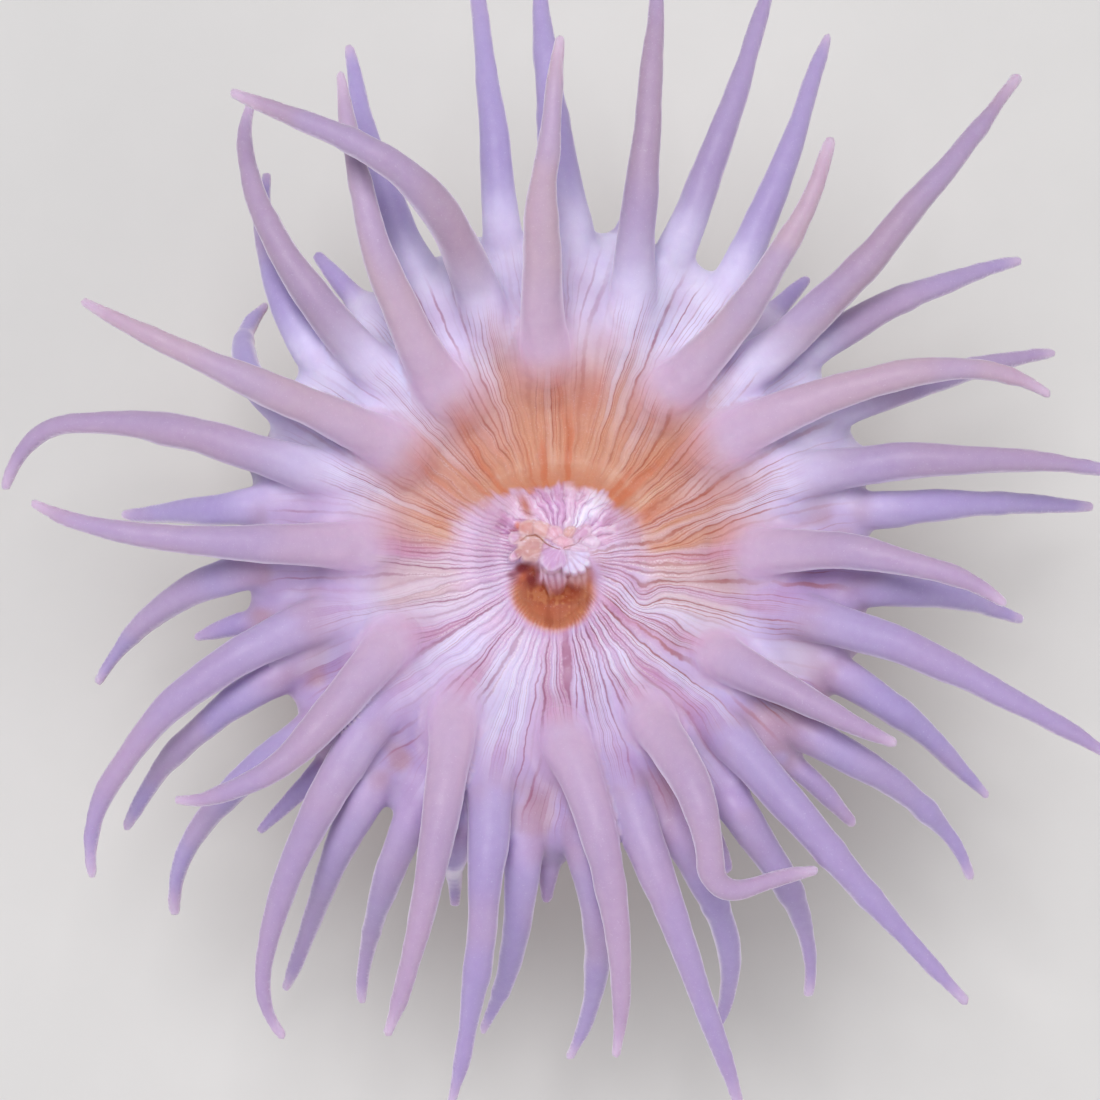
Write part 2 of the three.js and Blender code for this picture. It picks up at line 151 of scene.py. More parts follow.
def line_distance(x, y, line):
    """Distance to a line of straight stretches."""
    best = np.full(x.shape, 1e9)
    for (ax, ay), (bx, by) in zip(line[:-1], line[1:]):
        ex, ey = bx - ax, by - ay
        t = np.clip(((x - ax) * ex + (y - ay) * ey) / (ex * ex + ey * ey + 1e-12), 0, 1)
        best = np.minimum(best, np.hypot(x - ax - t * ex, y - ay - t * ey))
    return best


# ---- the body's own surface ---------------------------------------------------------------------
def disc_polar(x, y):
    """Reach and angle on the disc, whose circles slide towards the mouth as they shrink."""
    reach = np.hypot(x, y)
    for _ in range(6):
        slide = MOUTH_OFFSET * (1 - np.minimum(1, reach / RIM_START))
        reach = np.hypot(x, y - slide)
    return reach, np.arctan2(y - slide, x)


def dish_height(reach, angle):
    """The height of the disc, which dips towards the mouth and has a trough behind it."""
    climb = smoothstep(reach, DISH_INNER, RIM_START)
    trough = np.maximum(0, np.sin(angle)) * fade(reach, 9, 21)
    return DISH_LOW + (RIM_TOP - DISH_LOW) * climb ** 1.2 - DISH_TROUGH * trough


def column_radius(z):
    down = np.clip((WAIST_HEIGHT - z) / WAIST_HEIGHT, 0, 1)
    up = np.clip((z - WAIST_HEIGHT) / (NECK_HEIGHT - WAIST_HEIGHT), 0, 1)
    return (WAIST_RADIUS + (FOOT_EDGE - WAIST_RADIUS) * down ** 2.2
            + (NECK_RADIUS - WAIST_RADIUS) * up ** 2.1)


def body_profile():
    """The outline in (radius, height), from the sole's middle round the rim to the axis again."""
    sole = [(0, 0), (20.1, 0), (20.65, 0.15), (20.95, 0.55), (20.9, 1.0), (20.55, 1.7), (20.1, 2.4)]
    column = [(float(column_radius(z)), z) for z in np.linspace(3.2, NECK_HEIGHT, 28)]
    turns = np.radians(np.linspace(RIM_TUCK, 0, 22))
    rim = [(RIM_START + RIM_RADIUS * math.sin(a), RIM_TOP - RIM_RADIUS * (1 - math.cos(a)))
           for a in turns]
    return np.array(sole + column + rim + [(0, RIM_TOP)])


class Profile:
    """Signed distance to the outline, looked up in a table."""
    LOW = -3.0

    def __init__(self, outline):
        r = np.arange(0, 68, PROFILE_STEP)
        z = np.arange(self.LOW, 66, PROFILE_STEP)
        rr, zz = np.meshgrid(r, z, indexing="ij")
        inside = np.zeros(rr.shape, bool)
        closed = np.vstack([outline, outline[:1]])
        for (ar, az), (br, bz) in zip(closed[:-1], closed[1:]):
            crosses = (az > zz) != (bz > zz)
            height = bz - az if abs(bz - az) > 1e-12 else 1e-12
            inside ^= crosses & (rr < ar + (zz - az) * (br - ar) / height)
        gap = line_distance(rr, zz, outline)
        self.table = np.where(inside, -gap, gap).astype(np.float32)

    def __call__(self, r, z):
        u = np.clip(r / PROFILE_STEP, 0, self.table.shape[0] - 1.001)
        v = np.clip((z - self.LOW) / PROFILE_STEP, 0, self.table.shape[1] - 1.001)
        i, j = u.astype(int), v.astype(int)
        f, g = u - i, v - j
        t = self.table
        return ((t[i, j] * (1 - f) + t[i + 1, j] * f) * (1 - g)
                + (t[i, j + 1] * (1 - f) + t[i + 1, j + 1] * f) * g)


profile = Profile(body_profile())


def body_field(x, y, z):
    """Signed distance to the body without tentacles, for arrays that broadcast together."""
    radius, turn = np.hypot(x, y), np.arctan2(y, x)
    lobes = np.cos(5 * turn + 0.6) + 0.6 * np.cos(8 * turn + 2)
    footed = fade(z, 0, WAIST_HEIGHT)
    outer = profile(radius / (1 + FOOT_LOBES * footed * lobes), z)
    reach, angle = disc_polar(x, y)
    dish = (z - dish_height(reach, angle)) * 0.96
    return -smooth_min(-outer, -dish, 0.4)


# ---- tentacles ----------------------------------------------------------------------------------
def rings_of(node, near):
    """Centres and radii of a CAD tentacle's rings, from the end that is nearest to near."""
    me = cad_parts[node].data
    co = np.empty(len(me.vertices) * 3)
    me.vertices.foreach_get("co", co)
    corner = np.empty(len(me.loops), int)
    me.loops.foreach_get("vertex_index", corner)
    points, merged = np.unique(np.round(co.reshape(-1, 3) / MM, 3), axis=0, return_inverse=True)
    links = [set() for _ in points]
    for tri in merged[corner].reshape(-1, 3):
        for k in range(3):
            links[tri[k]].update((tri[k - 1], tri[k - 2]))
    ends = [k for k, joined in enumerate(links) if len(joined) == 7]
    first = min(ends, key=lambda k: np.linalg.norm(points[k] - near))
    layers, seen = [[first]], {first}
    while layers[-1]:
        layer = sorted({n for k in layers[-1] for n in links[k]} - seen)
        seen.update(layer)
        layers.append(layer)
    layers.pop()
    centres = np.array([points[layer].mean(0) for layer in layers])
    radii = np.array([np.linalg.norm(points[layer] - c, axis=1).mean()
                      for layer, c in zip(layers, centres)])
    return centres, radii


def spline(knots, values, at):
    """Natural cubic spline through the values."""
    n = len(knots)
    h = np.diff(knots)
    system = np.eye(n)
    right = np.zeros((n, values.shape[1]))
    slope = np.diff(values, axis=0) / h[:, None]
    for k in range(1, n - 1):
        system[k, k - 1:k + 2] = h[k - 1], 2 * (h[k - 1] + h[k]), h[k]
        right[k] = 6 * (slope[k] - slope[k - 1])
    bend = np.linalg.solve(system, right)
    k = np.clip(np.searchsorted(knots, at, side="right") - 1, 0, n - 2)
    a, b, hk = (at - knots[k])[:, None], (knots[k + 1] - at)[:, None], h[k][:, None]
    return (bend[k] * b ** 3 / (6 * hk) + bend[k + 1] * a ** 3 / (6 * hk)
            + (values[k] / hk - bend[k] * hk / 6) * b + (values[k + 1] / hk - bend[k + 1] * hk / 6) * a)


class Tentacle:
    """A chain of round samples: centres, radii, and the share of the length at each."""
    BURIED = 1.6           # length added under the root

    def __init__(self, centres, radii, kind, seed):
        self.kind = kind
        self.root = centres[0]
        draw = np.random.default_rng(seed)
        inward = centres[0] - centres[2]
        centres = np.vstack([centres[0] + self.BURIED * inward / np.linalg.norm(inward), centres])
        radii = np.concatenate([[radii[0], radii[0]], radii[1:]])
        along = np.concatenate([[0], np.cumsum(np.linalg.norm(np.diff(centres, axis=0), axis=1))])
        end = along[-1] - radii[-1]
        s = np.linspace(0, end, max(6, int(end / SAMPLE)))
        self.centres = spline(along, centres, s)
        self.share = np.clip((s - along[1]) / (along[-1] - along[1]), 0, 1)
        self.radii = np.interp(s, along, radii)
        self.radii *= 1 + 0.12 * fade(self.share, 0.0, 0.16)
        # the buried end narrows, so that the root rises gently out of the disc
        self.radii *= mix(0.35, 1.0, smoothstep(s, -0.3 * radii[0], 1.6 * radii[0]))
        self.roughen(s, end, draw, seed)
        self.tone = draw.uniform(-1, 1)

    def roughen(self, s, end, draw, seed):
        """Gives the tentacle its own slight swellings, kinks and unevenness, away from the root."""
        free = smoothstep(self.share, 0.15, 0.4)
        wave = noise_a(np.stack([s / 5.0, np.full_like(s, seed * 1.7), np.zeros_like(s)], -1))
        self.radii *= 1 + 0.05 * wave * free
        for _ in range(draw.integers(0, 3)):
            at, width = draw.uniform(0.4, 0.92) * end, draw.uniform(0.6, 1.4)
            self.radii += free * draw.uniform(0.05, 0.13) * np.exp(-((s - at) / width) ** 2)
        for axis in range(3):
            q = np.stack([s / 7.0, np.full_like(s, seed * 2.3 + 9 * axis), np.ones_like(s)], -1)
            self.centres[:, axis] += 0.22 * free * noise_b(q)


def cad_tentacles():
    """The CAD's tentacles. One that is two lengths there is one chain here."""
    names = sorted(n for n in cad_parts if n.startswith("tentacle_"))
    out = []
    for seed, name in enumerate(n for n in names if not n.endswith("_tip")):
        centres, radii = rings_of(name, np.array([0, 0, 38.0]))
        if name.endswith("_base"):
            onward, wide = rings_of(name.replace("_base", "_tip"), centres[-1])
            centres = np.vstack([centres[:-1], onward[2:]])
            radii = np.concatenate([radii[:-1], wide[2:]])
        radii[0] = radii[1] = radii[2] * 1.04
        radii[-1] = TIP_RADIUS
        kind = ("inner", "middle", "outer").index(name.split("_")[1])
        out.append(Tentacle(centres, radii, kind, seed))
    return out


def crown_point(reach, angle):
    """A point on the rim's rounded edge."""
    turn = (reach - RIM_START) / RIM_RADIUS
    radius = RIM_START + RIM_RADIUS * math.sin(turn)
    height = RIM_TOP - RIM_RADIUS * (1 - math.cos(turn))
    return np.array([radius * math.cos(angle), radius * math.sin(angle), height])


def young_tentacle(degrees, length, seed):
    """A short tentacle on the rim, along a curve that starts level and droops."""
    angle = math.radians(degrees)

    def heading(slope):
        level = math.cos(math.radians(slope))
        return np.array([math.cos(angle) * level, math.sin(angle) * level,
                         math.sin(math.radians(slope))])
    root = crown_point(YOUNG_RING, angle)
    end = root + heading(YOUNG_FALL / 2) * length
    pull = 0.36 * length
    corners = [root, root + heading(YOUNG_RISE) * pull, end - heading(YOUNG_FALL) * pull, end]
    t = np.linspace(0, 1, 7)[:, None]
    curve = ((1 - t) ** 3 * corners[0] + 3 * (1 - t) ** 2 * t * corners[1]
             + 3 * (1 - t) * t ** 2 * corners[2] + t ** 3 * corners[3])
    radii = TIP_RADIUS + (YOUNG_ROOT - TIP_RADIUS) * (1 - t[:, 0] ** 1.15)
    return Tentacle(curve, radii, 2, seed)


tentacles = cad_tentacles() + [young_tentacle(degrees, length, 100 + k)
                               for k, (degrees, length) in enumerate(YOUNG)]


# ---- the distance field -------------------------------------------------------------------------
class Grid:
    """The corners of a block of voxels, and values read between them."""

    def __init__(self, low, high):
        self.low = np.array(low)
        self.shape = tuple(int(n) for n in np.ceil((np.array(high) - low) / VOXEL) + 1)
        self.axes = [self.low[k] + VOXEL * np.arange(self.shape[k]) for k in range(3)]

    def span(self, low, high):
        first = np.clip(np.floor((low - self.low) / VOXEL).astype(int), 0, self.shape)
        last = np.clip(np.ceil((high - self.low) / VOXEL).astype(int) + 1, 0, self.shape)
        return first, last

    def sample(self, values, points):
        q = (points - self.low) / VOXEL
        cell = np.clip(np.floor(q).astype(int), 0, np.array(self.shape) - 2)
        return from_corners(q - cell, lambda corner: values[tuple((cell + corner).T)])

    def slope(self, values, points):
        step = VOXEL * 0.5
        out = np.stack([self.sample(values, points + step * axis)
                        - self.sample(values, points - step * axis) for axis in np.eye(3)], -1)
        return out / np.maximum(np.linalg.norm(out, axis=1, keepdims=True), 1e-9)


FAR = 3.0              # distances are kept up to here
ROOT_SHARE = 0.3       # the share of a tentacle's length that can blend with the disc
LIMB_BLEND = 0.08      # how widely two tentacles that touch run together


def tentacle_field(tentacle, axes):
    """Distance to one tentacle on the voxels near it."""
    own = np.full([len(axis) for axis in axes], FAR, np.float32)
    for k in range(len(tentacle.centres) - 1):
        a, b = tentacle.centres[k], tentacle.centres[k + 1]
        ra, rb = tentacle.radii[k], tentacle.radii[k + 1]
        near = ROOT_BLEND + 2 * VOXEL if tentacle.share[k] < ROOT_SHARE else 3.2 * VOXEL
        low = np.minimum(a, b) - max(ra, rb) - near
        high = np.maximum(a, b) + max(ra, rb) + near
        cut = [slice(*np.searchsorted(axes[m], (low[m], high[m]))) for m in range(3)]
        px = (axes[0][cut[0]] - a[0])[:, None, None]
        py = (axes[1][cut[1]] - a[1])[None, :, None]
        pz = (axes[2][cut[2]] - a[2])[None, None, :]
        axis = b - a
        u = np.clip((px * axis[0] + py * axis[1] + pz * axis[2]) / (axis @ axis), 0, 1)
        gap = np.sqrt((px - u * axis[0]) ** 2 + (py - u * axis[1]) ** 2
                      + (pz - u * axis[2]) ** 2) - mix(ra, rb, u)
        block = own[tuple(cut)]
        np.minimum(block, gap, out=block)
    return own


def fill_field(grid):
    """The body and its tentacles, whose roots run widely into the disc and hardly into each other."""
    x = grid.axes[0][:, None]
    y = grid.axes[1][None, :]
    body = np.empty(grid.shape, np.float32)
    for k, z in enumerate(grid.axes[2]):
        body[:, :, k] = body_field(x, y, z)
    field = body.copy()
    for tentacle in tentacles:
        pad = tentacle.radii.max() + ROOT_BLEND + 2 * VOXEL
        first, last = grid.span(tentacle.centres.min(0) - pad, tentacle.centres.max(0) + pad)
        own = tentacle_field(tentacle, [grid.axes[k][first[k]:last[k]] for k in range(3)])
        where = tuple(slice(first[m], last[m]) for m in range(3))
        near = own < FAR - 0.01
        there, base = field[where], body[where][near]
        width = mix(ROOT_BLEND, LIMB_BLEND, smoothstep(base, 0.7, 4.5))
        there[near] = smooth_min(there[near], own[near], width)
    return field


def surface_of(grid, field):
    """The field's zero surface as points and quads facing out."""
    vdb = openvdb.FloatGrid(FAR)
    vdb.copyFromArray(np.clip(field, -FAR, FAR).astype(np.float32))
    vdb.transform = openvdb.createLinearTransform(voxelSize=VOXEL)
    points, _, quads = vdb.convertToPolygons(isovalue=0.0)
    points = points.astype(float) + grid.low
    quads = quads.astype(int)
    a, b, c, d = (points[quads[:, k]] for k in range(4))
    volume = np.einsum("ij,ij->i", a, np.cross(b, c) + np.cross(c, d)).sum()
    return points, (quads[:, ::-1] if volume < 0 else quads)


def edges_of(quads):
    """Each edge once, as two point numbers in order."""
    pairs = np.sort(np.concatenate([quads[:, [k, (k + 1) % 4]] for k in range(4)]), axis=1)
    return np.unique(pairs, axis=0)


def settle(grid, field, points, quads, rounds=4):
    """Evens the points out along the surface and sets them on it exactly."""
    edges = edges_of(quads)
    both = np.concatenate([edges, edges[:, ::-1]])
    count = np.bincount(both[:, 0], minlength=len(points))[:, None]
    for _ in range(rounds):
        normal = grid.slope(field, points)
        mean = np.stack([np.bincount(both[:, 0], points[both[:, 1], k], len(points))
                         for k in range(3)], -1) / count
        move = mean - points
        move -= normal * np.einsum("ij,ij->i", move, normal)[:, None]
        points = points + 0.6 * move
        points = points - normal * grid.sample(field, points)[:, None]
    return points - grid.slope(field, points) * grid.sample(field, points)[:, None]


def smoothed(values, edges, rounds):
    """Values at the points, evened out along the edges."""
    a, b = edges.T
    count = np.maximum(np.bincount(a, minlength=len(values)) + np.bincount(b, minlength=len(values)), 1)
    for _ in range(rounds):
        total = np.bincount(a, values[b], len(values)) + np.bincount(b, values[a], len(values))
        values = 0.4 * values + 0.6 * np.where(count > 1, total / count, values)
    return values


MARGIN = 3             # room round the CAD's box
grid = Grid(np.array(start_bounds[0]) / MM - MARGIN, np.array(start_bounds[1]) / MM + MARGIN)
field = fill_field(grid)
points, quads = surface_of(grid, field)
points = settle(grid, field, points, quads)
points[:, 2] = np.maximum(points[:, 2], 0)     # the sole lies level on the floor


# ---- the fine sheet for the mouth and inner disc replaces the coarse surface there ---------------
def skin_height(x, y, start):
    """The height of the field's surface, stepped to from a little above a guess at it."""
    z = start + 1.6
    for _ in range(14):
        z = z - 0.8 * grid.sample(field, np.stack([x, y, z], -1))
    return z


def in_sheet(points, edge):
    """Whether points are on top of the disc inside an edge."""
    reach, _ = disc_polar(points[:, 0], points[:, 1])
    return (reach < edge) & (points[:, 2] > DISC_LOW) & (points[:, 2] < DISC_HIGH)


def refine(points, quads, chosen):
    """Splits the chosen quads in four. Their neighbours take the new edge points as corners."""
    q = quads[chosen]
    edges = edges_of(q)
    middle = {tuple(e): len(points) + n for n, e in enumerate(edges.tolist())}

    def between(a, b):
        return middle.get((a, b) if a < b else (b, a))
    sides = np.array([[between(a, b) for a, b in zip(face, face[1:] + face[:1])] for face in q.tolist()])
    centre = len(points) + len(edges) + np.arange(len(q))
    fine = np.concatenate([np.stack([q[:, k], sides[:, k], centre, sides[:, k - 1]], -1)
                           for k in range(4)])
    points = np.vstack([points, points[edges].mean(1), points[q].mean(1)])
    rest = quads[~chosen]
    at_edge = np.zeros(len(points), bool)
    at_edge[edges] = True
    touched = at_edge[rest].sum(1) > 1
    mixed = []
    for face in rest[touched].tolist():
        ring = []
        for a, b in zip(face, face[1:] + face[:1]):
            half = between(a, b)
            ring += [a] if half is None else [a, half]
        mixed.append(ring)
    return points, np.concatenate([fine, rest[~touched]]), mixed


def sheet_slide(reach):
    """The sheet's middle: the disc's own slide, and in the mouth a shift on to the slit."""
    inward = fade(reach, 0.5, 7.5)
    return 0.2 * inward, MOUTH_OFFSET * (1 - reach / RIM_START) + 1.0 * inward


def ring_count(reach):
    """How many points a ring of the sheet has: fewer near the middle, by halves."""
    return 768 if reach > 5 else 384 if reach > 2.1 else 192 if reach > 0.9 else 96


def make_sheet():
    """Rings of points from the edge of the sheet to the slit, and one point in the middle."""
    reaches = np.concatenate([np.arange(SHEET_EDGE, 8.6, -SHEET_STEP),
                              np.arange(8.52, 0.2, -MOUTH_STEP)])
    counts = [ring_count(reach) for reach in reaches]
    starts = np.cumsum([0] + counts)
    points = []
    for reach, count in zip(reaches, counts):
        angle = FULL_TURN * np.arange(count) / count
        dx, dy = sheet_slide(reach)
        points.append(flat(reach * np.cos(angle) + dx, reach * np.sin(angle) + dy))
    points = np.vstack([*points, [[*sheet_slide(0.0), 0]]])
    quads, mixed = [], []
    for n, m, outer, inner in zip(counts, counts[1:], starts, starts[1:]):
        i = np.arange(m)
        j = (i + 1) % m
        if n == m:
            quads.append(np.stack([inner + i, outer + i, outer + j, inner + j], -1))
        else:
            a, b, c = outer + 2 * i, outer + 2 * i + 1, outer + (2 * i + 2) % n
            for corners in ((inner + i, a, b), (inner + i, b, inner + j), (inner + j, b, c)):
                mixed += np.stack(corners, -1).tolist()
    i = np.arange(counts[-1])
    middle = np.full_like(i, starts[-1])
    mixed += np.stack([middle, starts[-2] + i, starts[-2] + (i + 1) % counts[-1]], -1).tolist()
    return points, np.concatenate(quads), mixed, counts[0]


def zip_rings(outer, outer_angle, inner, inner_angle):
    """Triangles between two rings of points that both run anticlockwise."""
    faces = []
    i = j = 0
    n, m = len(outer), len(inner)
    while i < n or j < m:
        next_outer = outer_angle[(i + 1) % n] + (FULL_TURN if i + 1 >= n else 0)
        next_inner = inner_angle[(j + 1) % m] + (FULL_TURN if j + 1 >= m else 0)
        if j >= m or (i < n and next_outer <= next_inner):
            faces.append([inner[j % m], outer[i % n], outer[(i + 1) % n]])
            i += 1
        else:
            faces.append([inner[j % m], outer[i % n], inner[(j + 1) % m]])
            j += 1
    return faces


def open_edge(faces, points):
    """The open edge round the hole over the mouth, leaving out the cut edge of the faces' patch."""
    step = set()
    for face in faces:
        step.update(zip(face, face[1:] + face[:1]))
    reach, _ = disc_polar(points[:, 0], points[:, 1])
    inner = reach < SHEET_EDGE + 1.2
    onward = {a: b for a, b in step if (b, a) not in step and inner[a] and inner[b]}
    start = next(iter(onward))
    loop = [start]
    while onward[loop[-1]] != start:
        loop.append(onward[loop[-1]])
    return loop


def even_loop(loop, points):
    """The loop's points in order from angle 0, anticlockwise, with evened-out angles."""
    angle = np.unwrap(disc_polar(points[loop, 0], points[loop, 1])[1])
    if angle[-1] < angle[0]:
        loop, angle = loop[::-1], angle[::-1]
    for _ in range(12):
        ahead = np.append(angle[1:], angle[0] + FULL_TURN)
        behind = np.append(angle[-1] - FULL_TURN, angle[:-1])
        angle = 0.5 * angle + 0.25 * (ahead + behind)
    angle = angle - FULL_TURN * math.floor(angle[0] / FULL_TURN)
    first = int(np.searchsorted(angle, FULL_TURN))
    return loop[first:] + loop[:first], np.concatenate([angle[first:] - FULL_TURN, angle[:first]])


def join_sheet(points, quads, mixed):
    """Adds the fine sheet and sews it to the open edge of the skin round it."""
    patch = quads[in_sheet(points, SHEET_EDGE + 3)[quads].any(1)].tolist() + mixed
    loop, angle = even_loop(open_edge(patch, points), points)
    reach = SHEET_EDGE + 0.22
    x = reach * np.cos(angle)
    y = reach * np.sin(angle) + MOUTH_OFFSET * (1 - reach / RIM_START)
    low_height = dish_height(np.full(len(loop), reach), angle)
    points[loop] = np.stack([x, y, np.maximum(low_height, skin_height(x, y, low_height))], -1)
    sheet, sheet_quads, sheet_mixed, count = make_sheet()
    base = len(points)
    rim = base + np.arange(count)
    seam = zip_rings(loop, angle, rim.tolist(), FULL_TURN * np.arange(count) / count)
    is_sheet = np.arange(base + len(sheet)) >= base
    points = np.vstack([points, sheet])
    quads = np.concatenate([quads, sheet_quads + base])
    mixed = mixed + [[base + k for k in face] for face in sheet_mixed] + seam
    return points, quads, mixed, is_sheet


covered = in_sheet(points, SHEET_EDGE + 0.12)
quads = quads[~covered[quads].any(1)]
reach_now, _ = disc_polar(points[:, 0], points[:, 1])
fine_zone = (reach_now < FINE_EDGE) & (points[:, 2] > COLUMN_TOP)
points, quads, mixed = refine(points, quads, fine_zone[quads].all(1))
points, quads, mixed, is_sheet = join_sheet(points, quads, mixed)


# ---- the mouth's relief -------------------------------------------------------------------------
# The lips' lobes: x, y, half-length, half-width, turn in degrees, squareness, top, colour
LOBES = [
    (-3.15, 1.00, 0.85, 0.78, 10, 2.4, 40.75, "peach"),
    (-1.80, 0.85, 1.10, 0.72, -25, 2.4, 40.90, "peach_pink"),
    (-0.60, 0.55, 0.78, 0.68, -15, 2.2, 41.05, "pink"),
    (0.25, -0.36, 0.95, 0.62, -20, 2.3, 41.00, "pink"),
    (0.95, 0.55, 0.75, 0.55, 35, 2.2, 40.80, "peach_pink"),
    (2.15, 0.50, 1.00, 0.66, 28, 2.3, 40.80, "lilac_pink"),
    (3.05, -0.30, 0.85, 0.60, -10, 2.2, 40.70, "white_pink"),
    (-4.30, 0.05, 0.75, 0.60, 0, 2.2, 40.45, "lilac_pink"),
    (-2.85, -1.00, 1.18, 1.22, 8, 3.0, 40.95, "beige"),
    (-1.45, -1.10, 0.66, 0.74, -30, 2.2, 40.80, "lilac_pink"),
    (-0.65, -2.00, 1.20, 1.05, 25, 3.0, 41.12, "lilac"),
    (1.65, -1.02, 1.05, 0.46, -6, 2.2, 40.80, "white_pink"),
    (-4.30, -1.55, 0.80, 0.42, 35, 2.2, 40.15, "white_pink"),
]
# petals of the lower lip, which spread from one point: heading in degrees, length, top
PETAL_HUB = (0.55, -1.42)
PETALS = [(-84, 1.75, 40.82), (-64, 2.05, 40.90), (-45, 2.20, 40.95), (-27, 2.25, 40.90), (-9, 2.05, 40.80)]
LOBE_COLOURS = {"peach": "d3a09a", "peach_pink": "d8aca9", "pink": "deafc0", "lilac_pink": "cfa6c4",
                "lilac": "cda8cf", "beige": "cb9d99", "white": "dacfec", "white_pink": "d9c0d8"}
SLIT = [(-3.9, -0.2), (-3.35, 0.22), (-2.5, 0.34), (-2.0, 0.05), (-1.6, -0.33), (-1.25, -0.62),
        (-0.75, -0.87), (-0.12, -1.12), (0.5, -0.95), (1.0, -0.76), (1.4, -0.68), (1.8, -0.38), (2.1, 0.0)]
THROAT_CENTRE, THROAT_RADIUS, THROAT_FLOOR = (-0.60, -4.75), 4.35, 35.4
LIP_CENTRE, LIP_TOP = (0.3, -0.7), 40.55
MOUND_TOP = 37.5       # the mound's height in front of the lips
PLEATS = 17
PLEAT_START, PLEAT_SPAN = -18, 218     # the headings the pleats fan out over, in degrees
# how far the raised pleats, and the pale skin round them, reach out from the lips, by heading in degrees
PLEAT_REACH = ([-20, 10, 40, 65, 90, 115, 135, 160, 185, 200],
               [3.4, 4.6, 6.1, 6.0, 5.7, 5.8, 6.7, 6.9, 5.2, 3.6])
PALE_REACH = ([-20, 0, 22, 45, 65, 90, 118, 128, 137, 150, 165, 190],
              [7, 8, 7.7, 6.7, 6.2, 6.0, 6.0, 7.3, 8.2, 9.3, 10.5, 11])
NOTCH, NOTCH_LEAN = (-3.5, 3.4), (0.93, 0.36)      # a dent in the fan of pleats


def petal(heading, length, top):
    middle, a = 0.56 * length, math.radians(heading)
    return (PETAL_HUB[0] + middle * math.cos(a), PETAL_HUB[1] + middle * math.sin(a),
            middle, 0.50, heading, 2.3, top, "white")


def pleat_headings():
    """The headings of the valleys between the pleats, which aren't all as wide."""
    edges = np.cumsum(np.random.default_rng(7).uniform(0.7, 1.35, PLEATS))
    return np.radians(PLEAT_START + PLEAT_SPAN * np.concatenate([[0], edges]) / edges[-1])


LOBES += [petal(*row) for row in PETALS]
pleat_edges = pleat_headings()


def lobe_reach(x, y, lobe):
    """How far out on a lobe a point lies: 0 at its middle, 1 at its edge."""
    cx, cy, length, width, turn, power = lobe[:6]
    a = math.radians(turn)
    u = (x - cx) * math.cos(a) + (y - cy) * math.sin(a)
    v = (y - cy) * math.cos(a) - (x - cx) * math.sin(a)
    return (np.abs(u / length) ** power + np.abs(v / width) ** power) ** (1 / power)


